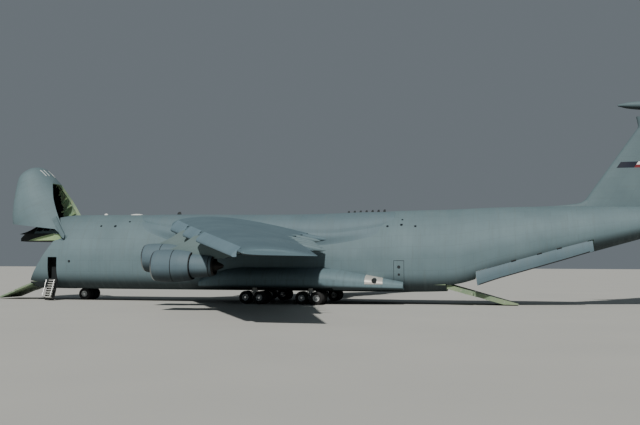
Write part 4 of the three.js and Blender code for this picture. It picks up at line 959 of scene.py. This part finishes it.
for position, y, x, z in ENGINES:
    at = (x, y, z)
    cowl = lathe("fan_cowl", COWL, at, 72, cowl_paint)
    assign(cowl, polished_lip, lambda c: c.x < x + 0.16 and math.hypot(c.y - y, c.z - z) > 1.1)
    assign(cowl, duct_grey,
           lambda c: math.hypot(c.y - y, c.z - z) < 1.095 + 0.075 * min(max(c.x - x, 0), 1) and c.x < x + 2.6)
    assign(cowl, cowl_joint,
           lambda c: (abs(c.x - x - 1.7) < 0.03 and math.hypot(c.y - y, c.z - z) > 1.24) or c.x > x + 3.12)

    core = lathe("core_cowl", CORE, at, 64, cowl_paint)
    assign(core, nozzle_stain_and_shade, lambda c: c.x > x + 4.9 or (c.x > x + 4.69 and math.hypot(c.y - y, c.z - z) < 0.7))
    assign(core, cowl_joint, lambda c: abs(c.x - x - 4.63) < 0.028)
    vane = skin("duct_strut", [[(x + px, y + py, z + r) for px, py in STRUT] for r in (0.6, 1.185)], duct_grey)
    engine = join(f"engine_{position}_right", [cowl, core] + around(vane, STRUTS, at, "duct_strut", 7))

    plate = []
    lead_x, lead_z = straight_row(WING, y)[1:3]
    for across, back in ((-0.2, 0.16), (-0.17, 0.05), (-0.1, 0.0), (0.1, 0.0), (0.17, 0.05), (0.2, 0.16)):
        plate.append([(px, y + across, pz) for px, pz in (
            (x + 1.0 + back, z + 1.2), (x + 3.1, z + 0.85), (x + 4.9, z + 0.55), (x + 5.9, z + 0.62),
            (lead_x + 5.6, lead_z - 0.72), (lead_x + 5.4, lead_z), (lead_x + 0.6, lead_z + 0.05),
            (lead_x - 0.3 + back, lead_z + 0.02), (x + 2.4 + back, z + 1.52 + 0.35 * (lead_z - z - 1.5)))])
    pylon = skin(f"pylon_{position}_right", plate, pylon_paint)

    sections = []
    for r, lean, chord in BLADE:
        c, s = math.cos(math.radians(lean)), math.sin(math.radians(lean))
        sections.append([(x + 0.98 + chord * (u * c - v * s), y + chord * (u * s + v * c), z + r)
                         for u, v in BLADE_SECTION])
    spinner = lathe("spinner", SPINNER, at, 40, duct_grey)
    blades = around(skin("fan_blade", sections, titanium), BLADES, at, "fan_blade")
    fan = join(f"fan_{position}_right", [spinner] + blades)
    for part, label, slot in ((engine, "engine", "bare_metal"), (pylon, "pylon", "grey_paint"),
                              (fan, "fan", "bare_metal")):
        node = f"{label}_{position}_{{}}"
        fit_pair(part, node + "_detail", node if label == "fan" else "root", slot, node)

# Fin and rudders: a riveted aluminium fin with a small fillet at its foot, two rudders on a hinge line at three
# quarters of its chord, and a plain painted band of dark blue, white and red on each side.
fin_paint = aircraft_paint("satin_grey_fin_paint", "#57696f", "#607378", panel=(2.2, 1.9), streaks=0.25)

# Columns: z, leading edge x, trailing edge x, thickness ratio
FIN = [(8.9, 60.4, 71.0, 0.1), (9.9, 61.5, 71.25, 0.11), (17.85, 67.2, 73.4, 0.11)]


def fin_ring(z, scale=1.0):
    """The fin's section at a height"""
    _, lead, trail, thickness = straight_row(FIN, z)
    return [(lead + u * (trail - lead), v * (trail - lead) * scale, z) for u, v in aerofoil(thickness, 0.0, SPOTS)]


def fin_hinge(z):
    """The point on the rudders' hinge line, and half the fin's thickness there"""
    _, lead, trail, thickness = straight_row(FIN, z)
    half = aerofoil(thickness, 0.0, [0, SURFACE_HINGE, 1])[1][1]
    return (lead + SURFACE_HINGE * (trail - lead), 0, z), half * (trail - lead)


fin = skin("fin_skin", [fin_ring(z) for z in stations((8.9, 9.9, 2), (9.9, 17.8, 16))]
           + [fin_ring(17.85, 0.9)], fin_paint)
rudders = []
for label, z0, z1 in (("lower", 9.95, 13.9), ("upper", 13.9, 17.6)):
    rudders.append((label, split_surface(fin, fin_hinge, z0, z1, (-3, 3), fin_paint, upright=True)))

# Columns: x, half width and top of the fillet; z, leading edge, trailing edge and half width of the neck
FILLET = [(57.2, 0.04, 9.43), (58.6, 0.12, 9.47), (59.8, 0.2, 9.57), (60.7, 0.27, 9.68), (61.2, 0.32, 9.78),
          (61.7, 0.36, 10.1), (62.4, 0.34, 10.45)]
NECK = [(16.6, 66.35, 69.2, 0.2), (16.95, 66.5, 69.8, 0.3), (17.3, 66.42, 70.3, 0.36), (17.86, 66.32, 70.6, 0.38)]
CROWN = 9.25
fillet = skin("fin_fillet", [oval(x, 0, half, CROWN, top - CROWN, 24) for x, half, top in FILLET], fin_paint)
neck = skin("tail_neck", [[(lead + u * (trail - lead), half * v / 0.05, z) for u, v in aerofoil(0.1, 0.0, SPOTS[:17])]
                          for z, lead, trail, half in NECK], fin_paint)
fit(join("fin_with_fillet", [fin, fillet, neck]), "root", "grey_paint", "fin")
for label, piece in rudders:
    piece.name = piece.data.name = f"rudder_{label}_skin"
    fit(piece, f"rudder_{label}", "grey_paint", f"rudder_{label}")

band_blue = worn_paint("dark_blue_band_paint", "#0f1626", "#161e30", size=1.5)
band_white = worn_paint("white_band_paint", "#dadbd8", "#e6e6e2", size=1.5)
band_red = worn_paint("red_band_paint", "#6a1f26", "#77292d", size=1.5)
bands = []
# Columns: z low and high, start and end aft of the leading edge
for z0, z1, shift0, shift1, finish in ((12.99, 13.55, 0.7, 2.25, band_blue), (13.27, 13.55, 2.25, 5.0, band_white),
                                       (12.99, 13.27, 2.25, 5.0, band_red)):
    band = skin("band", [[(px, py * 1.012, pz) for px, py, pz in fin_ring(z)] for z in (z0, z1)], finish)
    lead0, lead1 = (straight_row(FIN, z)[1] for z in (z0, z1))
    slant = [(lead0 + shift0, z0 - 0.001), (lead0 + shift1, z0 - 0.001), (lead1 + shift1, z1 + 0.001),
             (lead1 + shift0, z1 + 0.001)]
    keep(band, side_plate("band_tool", slant, (-2, 2)))
    bands.append(cut(band, skin("band_core", [fin_ring(z) for z in (z0 - 0.2, z1 + 0.2)], finish)))
fit(join("fin_bands", bands), "root", "grey_paint")

# Tailplane: a bullet fairing on the fin's top with a swept tailplane through it, which trims as one, and an
# elevator on each side, hinged at three quarters of the chord. All are riveted aluminium.

# Columns as for the hull, then the height of the widest point
BULLET = [
    (64.7, 18.9, 19.06, 0.08, 2, 2, 18.98), (65.6, 18.66, 19.25, 0.36, 2, 2, 18.98),
    (67.2, 18.46, 19.35, 0.52, 2, 2, 18.92), (70.5, 18.1, 19.35, 0.55, 2, 2, 18.8),
    (72.6, 17.95, 19.2, 0.42, 2, 2, 18.75), (74.3, 18.6, 18.85, 0.1, 2, 2, 18.72),
]
# Columns: y, leading edge x and z, trailing edge x and z, thickness ratio
TAILPLANE = [(0.0, 67.0, 18.78, 73.3, 18.72, 0.1), (10.47, 72.9, 18.08, 75.3, 18.06, 0.095)]


def tail_ring(y, scale=1.0):
    """The tailplane's section at a distance from the middle"""
    return wing_ring(y, scale, TAILPLANE, 0.0)


def tail_hinge(y):
    """The elevators' hinge line, as wing_hinge gives the ailerons'"""
    return wing_hinge(y, TAILPLANE, 0.0)


rings = []
for x in stations((64.7, 65.6, 8), (65.6, 74.3, 30)):
    _, low, high, half, low_power, high_power, middle = row_at(BULLET, x)
    rings.append(rounded_ring(x, low, high, half, low_power, high_power, middle))
bullet = skin("bullet_skin", rings, fin_paint)
rings = [tail_ring(y) for y in stations((0.0, 10.2, 16))] + [tail_ring(10.42, 0.8), tail_ring(10.47, 0.4)]
half_tail = skin("half_tailplane", rings, fin_paint)
elevator = split_surface(half_tail, tail_hinge, 0.75, 9.9, (15, 21), fin_paint)
fit_pair(elevator, "elevator_{}_skin", "elevator_{}", "grey_paint", "elevator_{}")
tail = join("tailplane_with_bullet", [bullet, twin(half_tail, "left_tail", across=True), half_tail])
fit(tail, "tailplane", "grey_paint", "tailplane")

# Gear pods: long riveted blisters low on the fuselage sides that house the main gear in open bays, near black
# inside as painted shade, with the bare metal exhaust panel of the auxiliary power unit screwed on near the tail end.
pod_paint = aircraft_paint("satin_grey_pod_paint", "#5f757c", "#697f86", panel=(2.4, 1.3), streaks=0.55,
                           grime="#4d5556")
bare_panel = worn_paint("bare_aluminium_panel", "#c9c6bf", "#dcd9d1", roughness=(0.3, 0.5), size=1.1, metal=0.6)
# Columns: x, bottom z, top z, outer y, then as for the hull
PODS = [(24.4, 1.5, 2.3, 3.7), (26.4, 1.36, 3.1, 4.9), (29.0, 1.33, 3.5, 5.65), (36.8, 1.33, 3.5, 5.65),
        (40.2, 1.35, 3.0, 5.0), (44.6, 1.42, 2.2, 3.75)]


def pod_ring(x, grow=0.0):
    """The right pod's outline at a station, whose inner half lies in the hull"""
    _, low, high, outer = row_at(PODS, x)
    return rounded_ring(x, low - grow, high + grow, outer - 2.6 + grow, 4, 2.4, low + 0.45 * (high - low), 2.6, 64)


pod = skin("gear_pod_right_skin",
           [pod_ring(x) for x in stations((24.4, 29.0, 16), (29.0, 36.8, 12), (36.8, 44.6, 24))], pod_paint)
cut(pod, hull_skin("hull_tool", pod_paint, (22, 46, 12), inset=0.05))
BOGIES = (("front", 30.45), ("rear", 35.95))
for _, x in BOGIES:
    cut(pod, block("bay_tool", (x - 2.2, x + 2.2), (3.9, 5.3), (1.1, 1.75), painted_shade_black, bevel=0.12))
patch = skin("exhaust_patch", [pod_ring(x, 0.02) for x in stations((40.2, 43.4, 12))], bare_panel)
keep(patch, side_plate("patch_tool", [(41.1, 1.95), (42.75, 1.95), (42.7, 2.62), (41.1, 3.0)], (2.9, 6), bare_panel))
# The exhaust hole and its stub are near black: painted shade
cut(patch, pipe("hole_tool", (41.97, 3.3, 2.3), (41.97, 6.5, 2.3), 0.25, painted_shade_black, 32))
stub = pipe("exhaust_stub", (41.97, 3.6, 2.3), (41.97, 4.62, 2.3), 0.22, painted_shade_black, 32)
patch = join("exhaust_panel", [patch, stub])
fit_pair(pod, "gear_pod_{}_skin", "root", "grey_paint", "gear_pod_{}")
fit_pair(patch, "exhaust_panel_{}_skin", "root", "grey_paint")

# Landing gear: forged steel legs and beams in white paint with bright oleo pistons, torque links and brake
# lines. The aircraft kneels, so the legs are nearly closed.
gear_white = worn_paint("white_gear_paint", "#b9bcb9", "#c9cbc6", roughness=(0.35, 0.6), size=0.5, chips="#7c7a74")
oleo_chrome = worn_paint("bright_oleo_piston", "#c6c9cb", "#d2d4d5", roughness=(0.1, 0.2), size=0.3, metal=1.0)
tyre_rubber = worn_paint("worn_tyre_rubber", "#1c1d1e", "#2a2a2a", roughness=(0.7, 0.92), size=0.35)
rim_paint = worn_paint("pale_grey_rim_paint", "#b4b8ba", "#c8cbcb", roughness=(0.35, 0.55), size=0.3, chips="#6f706e")

# Columns: offset across from the wheel's middle, radius; from the inner bead over the tread to the outer bead
TYRE = [
    (-0.13, 0.3), (-0.17, 0.31), (-0.2, 0.37), (-0.215, 0.46), (-0.205, 0.54), (-0.17, 0.59), (-0.13, 0.612),
    (-0.118, 0.6), (-0.104, 0.6), (-0.092, 0.62), (-0.045, 0.6225), (-0.04, 0.605), (-0.026, 0.605),
    (-0.02, 0.6225), (0.02, 0.6225), (0.026, 0.605), (0.04, 0.605), (0.045, 0.6225), (0.092, 0.62), (0.104, 0.6),
    (0.118, 0.6), (0.13, 0.612), (0.17, 0.59), (0.205, 0.54), (0.215, 0.46), (0.2, 0.37), (0.17, 0.31),
    (0.13, 0.3), (-0.13, 0.3),
]
RIM = [
    (-0.16, 0.001), (-0.16, 0.09), (-0.11, 0.11), (-0.08, 0.14), (-0.07, 0.26), (-0.15, 0.29), (-0.17, 0.305),
    (-0.155, 0.318), (0.155, 0.318), (0.17, 0.305), (0.15, 0.29), (0.07, 0.26), (0.08, 0.14), (0.11, 0.11),
    (0.16, 0.09), (0.16, 0.001),
]
AXLE_Z = 0.6225
tyre = lathe("tyre", TYRE, (0, 0, 0), 48, tyre_rubber, axis="y")
rim = lathe("rim", RIM, (0, 0, 0), 40, rim_paint, axis="y")
# Holes in the wheel rims and the bores for the axles are near black: painted shade
bolts, lightening = [], []
for k in range(9):
    a = 2 * math.pi * k / 9
    u, v = 0.2 * math.cos(a), 0.2 * math.sin(a)
    lightening.append(pipe("hole", (u, -0.3, v), (u, 0.3, v), 0.036, painted_shade_black, 14))
    u, v = 0.12 * math.cos(a + 0.35), 0.12 * math.sin(a + 0.35)
    bolts.append(pipe("bolt", (u, -0.125, v), (u, 0.125, v), 0.014, rail_metal, 6))
cut(rim, join("holes", lightening))
wheel = join("wheel", [tyre, rim] + bolts)


def wheel_set(name, body, x, y, offsets):
    """Wheels side by side on their axle"""
    made = [pipe("axle", (0, offsets[0] - 0.2, 0), (0, offsets[-1] + 0.2, 0), 0.09, oleo_chrome, 24)]
    for k, offset in enumerate(offsets):
        made.append(twin(wheel, f"wheel_{k}"))
        made[-1].data.transform(Matrix.Translation((0, offset, 0)) @ Matrix.Rotation(0.4 * k, 4, "Y"))
    made = join(name, made)
    made.data.transform(Matrix.Translation((x, y, AXLE_Z)))
    fit(made, body, "tyre", body)


wheel_set("nose_wheel_set", "nose_wheels", 11.0, 0, [-1.07, -0.42, 0.42, 1.07])
for row, x in BOGIES:
    for side, y in (("left", -4.62), ("right", 4.62)):
        for end, axle_x, offsets in (("lead", x - 0.78, [-0.4, 0.4]), ("trail", x + 0.78, [-1.09, -0.4, 0.4, 1.09])):
            wheel_set(f"wheel_set_{row}_{side}_{end}", f"main_wheels_{row}_{side}_{end}", axle_x, y, offsets)
        beam = block("bogie_beam", (x - 0.96, x + 0.96), (y - 0.12, y + 0.12), (0.46, 0.8), gear_white, bevel=0.05)
        for end in (-0.78, 0.78):
            cut(beam, pipe("axle_hole", (x + end, y - 0.5, AXLE_Z), (x + end, y + 0.5, AXLE_Z), 0.11, painted_shade_black, 24))
        leg = [beam, pipe("piston", (x, y, 0.74), (x, y, 1.05), 0.15, oleo_chrome, 28),
               pipe("cylinder", (x, y, 1.0), (x, y, 1.72), 0.21, gear_white, 28),
               pipe("gland", (x, y, 0.98), (x, y, 1.06), 0.235, rail_metal, 28)]
        for dx in (-0.2, 0.2):
            leg.append(pipe("torque_link", (x + dx, y, 0.86), (x + 1.6 * dx, y, 1.14), 0.045, gear_white, 10))
            leg.append(pipe("torque_link", (x + 1.6 * dx, y, 1.14), (x + dx, y, 1.4), 0.045, gear_white, 10))
            leg.append(pipe("brake_line", (x + 0.7 * dx, y + 0.1, 0.82), (x + 3.4 * dx, y + 0.1, 0.82), 0.014,
                            rubber_seal, 8))
        fit(join(f"main_gear_{row}_{side}_detail", leg), "root", "gear_paint", f"main_gear_{row}_{side}")
bpy.data.objects.remove(wheel, do_unlink=True)

leg = [pipe("nose_cylinder", (11, 0, 1.32), (11, 0, 1.745), 0.26, gear_white, 32),
       pipe("nose_collar", (11, 0, 1.36), (11, 0, 1.44), 0.3, rail_metal, 32)]
for y in (-0.34, 0.34):
    leg.append(pipe("steering_jack", (10.75, y, 1.5), (11.35, y, 1.5), 0.06, oleo_chrome, 16))
    leg.append(pipe("drag_brace", (11.1, y * 0.6, 1.46), (12.2, y, 1.72), 0.055, gear_white, 12))
fit(join("nose_leg_detail", leg), "root", "gear_paint", "nose_gear_leg")
fork = block("nose_beam", (10.8, 11.2), (-0.14, 0.14), (0.45, 0.85), gear_white, bevel=0.05)
cut(fork, pipe("axle_hole", (11, -0.5, AXLE_Z), (11, 0.5, AXLE_Z), 0.11, painted_shade_black, 24))
fork = [fork, pipe("nose_piston", (11, 0, 0.8), (11, 0, 1.3), 0.16, oleo_chrome, 28),
        pipe("nose_gland", (11, 0, 1.2), (11, 0, 1.3), 0.19, gear_white, 28),
        pipe("tow_eye", (10.72, -0.09, 0.62), (10.72, 0.09, 0.62), 0.05, rail_metal, 16)]
fit(join("nose_fork_detail", fork), "nose_steering", "gear_paint", "nose_gear_fork")

# Small fittings on the hull: round windows in rubber rims, aerials of white glass fibre on the crown, and the
# outline of the troop door behind each pod, which is a thin rubber strip laid on the skin round the door.
aerial_white = worn_paint("white_aerial_glass_fibre", "#c9ccc9", "#d9dbd7", roughness=(0.4, 0.6), size=0.8)
aerial_dark = worn_paint("dark_blade_aerial", "#24282a", "#33383a", roughness=(0.5, 0.7), size=0.4)
# Columns: x, z, radius of the rim
ROUND_WINDOWS = [
    (13.24, 7.66, 0.13), (14.81, 7.64, 0.16), (16.19, 8.12, 0.12), (10.4, 4.01, 0.14), (39.77, 7.57, 0.1),
    (40.66, 7.61, 0.15), (43.01, 7.49, 0.13), (44.4, 8.14, 0.1), (44.35, 7.63, 0.15), (45.69, 7.48, 0.13),
    (44.2, 3.58, 0.16), (44.2, 2.87, 0.12),
]
# The troop door's start and end, its sill and its top
TROOP_DOOR = (43.7, 44.7, 2.12, 4.2)


def hull_spot(x, z):
    """A point of the hull's right side and the direction out of it"""
    aft_slope = (hull_side(x - 0.1, z) - hull_side(x + 0.1, z)) / 0.2
    out = Vector((aft_slope, 1, (hull_side(x, z - 0.05) - hull_side(x, z + 0.05)) / 0.1))
    return Vector((x, hull_side(x, z), z)), out.normalized()


panes = []
for x, z, radius in ROUND_WINDOWS:
    spot, out = hull_spot(x, z)
    panes += [pipe("window_rim", spot - out * 0.06, spot + out * 0.012, radius, rubber_seal, 24, radius * 0.93),
              pipe("window_pane", spot - out * 0.05, spot + out * 0.02, radius * 0.72, glass_finish, 24,
                   radius * 0.68)]
x0, x1, z0, z1 = TROOP_DOOR
strip = hull_skin("door_strip", rubber_seal, (x0 - 0.2, x1 + 0.2, 8), inset=-0.008)
cut(strip, hull_skin("strip_core", rubber_seal, (x0 - 0.4, x1 + 0.4, 8), inset=0.02),
    block("strip_tool", (x0 + 0.035, x1 - 0.035), (-5, 5), (z0 + 0.035, z1 - 0.035), rubber_seal))
panes.append(keep(strip, block("strip_keep", (x0, x1), (2, 5), (z0, z1), rubber_seal)))
fit_pair(join("hull_windows_right", panes), "hull_windows_{}", "root", "glazing")

# Columns: height and radius of the dome; x, half width and top of the flat radome behind it
DOME = [(-0.1, 0.001), (-0.1, 0.2), (0.0, 0.2), (0.05, 0.2), (0.1, 0.17), (0.14, 0.12), (0.16, 0.06), (0.165, 0.001)]
RADOME = [(15.5, 0.05, 8.93), (15.6, 0.3, 8.97), (15.85, 0.44, 9.02), (16.2, 0.48, 9.04), (16.55, 0.44, 9.02),
          (16.8, 0.3, 8.97), (16.9, 0.05, 8.93)]
AERIAL_SECTION = [(0, 0), (0.15, 0.8), (0.4, 1), (1, 0), (0.4, -1), (0.15, -0.8)]
aerials = [lathe("crown_dome", DOME, (12.7, 0, 8.93), 32, aerial_white, axis="z"),
           skin("crown_radome", [oval(x, 0, half, 8.9, top - 8.9, 32) for x, half, top in RADOME], aerial_white)]
# Columns: x, chord, z low and high, half thickness
blades = [(20.65, 0.5, 8.86, 9.22, 0.05)] + [(38.7 + 0.6 * k, 0.28, 8.84 + 0.022 * k, 9.16 + 0.022 * k, 0.02)
                                             for k in range(7)]
for x, chord, z0, z1, half in blades:
    sections = []
    for z, scale, back in ((z0, 1.0, 0.0), (z0 + 0.7 * (z1 - z0), 0.8, 0.12 * chord), (z1, 0.45, 0.4 * chord)):
        sections.append([(x + back + u * chord * scale, half * v * scale, z) for u, v in AERIAL_SECTION])
    aerials.append(skin("blade_aerial", sections, aerial_dark))
fit(join("crown_aerials", aerials), "root", "grey_paint")

# Aft cargo doors: a ribbed ramp with roller rails, a pressure door stowed at the ceiling, a centre door raised
# under the tail and two petal doors swung out. All are riveted aluminium panels on hinges, and their inner faces
# carry frames in green primer.
AFT_HINGE = (48.6, 0, 2.0)
AFT_RAMP_DOWN = 15.5
CENTRE_DOOR = (55.8, 61.85)
CENTRE_DOOR_RAISED = 13
PETAL_OPEN = 48
root = side_plate("ramp_root", [(0.06, 0), (0.06, -0.12), (0.18, -0.42), (2.65, -0.42), (2.65, 0)],
                  (-2.6, 2.6), deck_paint)
tail = side_plate("ramp_tail", [(2.6, 0), (2.6, -0.42), (5.6, -0.42), (6.9, -0.08), (6.9, 0)], (-1.85, 1.85),
                  deck_paint)
parts = [weld(root, tail)] + treads(4.9, 6.8, 1.6, 0.0)
for y in (-1.35, -0.35, 0.35, 1.35):
    parts.append(block("ramp_rail", (0.3, 4.7), (y - 0.06, y + 0.06), (-0.01, 0.03), rail_metal, bevel=0.01))
for x in (0.9, 1.9, 2.9, 3.9, 4.9):
    parts.append(block("ramp_rib", (x, x + 0.08), (-1.8, 1.8), (-0.47, -0.41), deck_paint, bevel=0.015))
ramp = join("aft_ramp_panel", parts)
ramp.data.transform(Matrix.Translation(AFT_HINGE))
fit(turn(ramp, AFT_HINGE, (0, 1, 0), AFT_RAMP_DOWN), "aft_ramp", "primer", "aft_ramp")

panel = [block("pressure_panel", (53.0, 55.15), (-2.1, 2.1), (6.06, 6.2), lining_paint, bevel=0.02)]
for k in range(7):
    y = -1.95 + 0.65 * k
    panel.append(block("pressure_rib", (53.06, 55.05), (y - 0.03, y + 0.03), (6.0, 6.08), lining_paint, bevel=0.012))
for x in (53.06, 54.06, 54.95):
    panel.append(block("pressure_beam", (x, x + 0.08), (-2.05, 2.05), (6.0, 6.08), lining_paint, bevel=0.012))
fit(join("pressure_door_panel", panel), "pressure_door", "primer", "pressure_door")


def keel_z(x):
    """The height of the hull's rising underside along its middle"""
    return 1.25 + 0.281 * (x - 48.5)


start, end = CENTRE_DOOR
rings = []
for k in range(9):
    x = start + (end - start) * k / 8
    half = 1.7 - 0.5 * k / 8
    low = keel_z(x) + 0.03
    rings.append([(x, -half, low + 0.05), (x, -half + 0.08, low), (x, half - 0.08, low), (x, half, low + 0.05),
                  (x, half, low + 0.14), (x, -half, low + 0.14)])
panel = [skin("centre_door_skin", rings, hull_paint)]
for k in range(8):
    x = 56.0 + 0.8 * k
    half = 1.62 - 0.5 * (x - start) / 6.05
    z = keel_z(x) + 0.03
    panel.append(block("centre_rib", (x - 0.03, x + 0.03), (-half, half), (z + 0.12, z + 0.24), lining_paint,
                       bevel=0.012))
turn(join("centre_door_panel", panel), (end, 0, keel_z(end) + 0.2), (0, 1, 0), CENTRE_DOOR_RAISED)
fit(panel[0], "centre_door", "grey_paint", "centre_door")


def petal_region(shrink=0.0):
    """The right petal door's place in the hull"""
    x0, x1 = PETAL["x0"] + 0.02 + shrink, PETAL["x1"] - 0.12 - shrink
    rings = []
    for x, inner, top in ((x0, 2.25, 3.18), (x1, 1.7, 6.15)):
        rings.append([(x, inner + shrink, 0), (x, 5, 0), (x, 5, top - shrink), (x, inner + shrink, top - shrink)])
    return skin("petal_tool", rings, rubber_seal)


petal_paint = aircraft_paint("satin_blue_grey_petal_paint", "#586c75", "#61757e")
petal = hull_skin("petal_skin", petal_paint, (50, 63, 26))
cut(petal, hull_skin("petal_hollow", lining_paint, (49.8, 63.2, 26), inset=0.09))
keep(petal, petal_region())
ribs = [hull_frame("petal_rib", 51.9 + 0.85 * k, 0.035, 0.06, 0.2, lining_paint) for k in range(12)]
ribs = keep(join("petal_ribs", ribs), petal_region(0.05))


def hull_under(x, y):
    """The height of the hull's underside at a station and a distance from the middle"""
    bottom, top, half, low = row_at(HULL, x)[1:5]
    middle = wide_z(bottom, top)
    return middle - (middle - bottom) * (1 - (y / half) ** low) ** (1 / low)


# Painted shadow: black bars along each petal's lower edge stand in for the shade under it
edges = []
for k in range(11):
    x = 51.5 + k
    y = 2.29 - 0.55 * (x - 51.32) / 10.56
    edges.append((min(x, 61.8), y, hull_under(x, y) + 0.03))
petal_shadow_bars = [pipe("petal_painted_shadow_bar", a, b, 0.055, rubber_seal, 10) for a, b in zip(edges, edges[1:])]
petal = join("petal_door_right_skin", [petal, ribs] + petal_shadow_bars)
hinge_line = Vector(PETAL["hinge1"]) - Vector(PETAL["hinge0"])
turn(petal, PETAL["hinge0"], hinge_line, PETAL_OPEN)
fit_pair(petal, "petal_door_{}_skin", "petal_door_{}", "grey_paint", "petal_door_{}")
knuckles = []
for side in (-1, 1):
    for x in (54.79, 57.14, 58.91):
        ends = []
        for px in (x - 0.22, x + 0.22):
            t = (px - PETAL["x0"]) / (PETAL["x1"] - PETAL["x0"])
            ends.append((px, side * (3.17 - 0.75 * t + 0.05), 3.24 + 3.0 * t))
        knuckles.append(pipe("petal_hinge", *ends, 0.06, rubber_seal, 12))
fit(join("petal_hinges", knuckles), "root", "bare_metal")
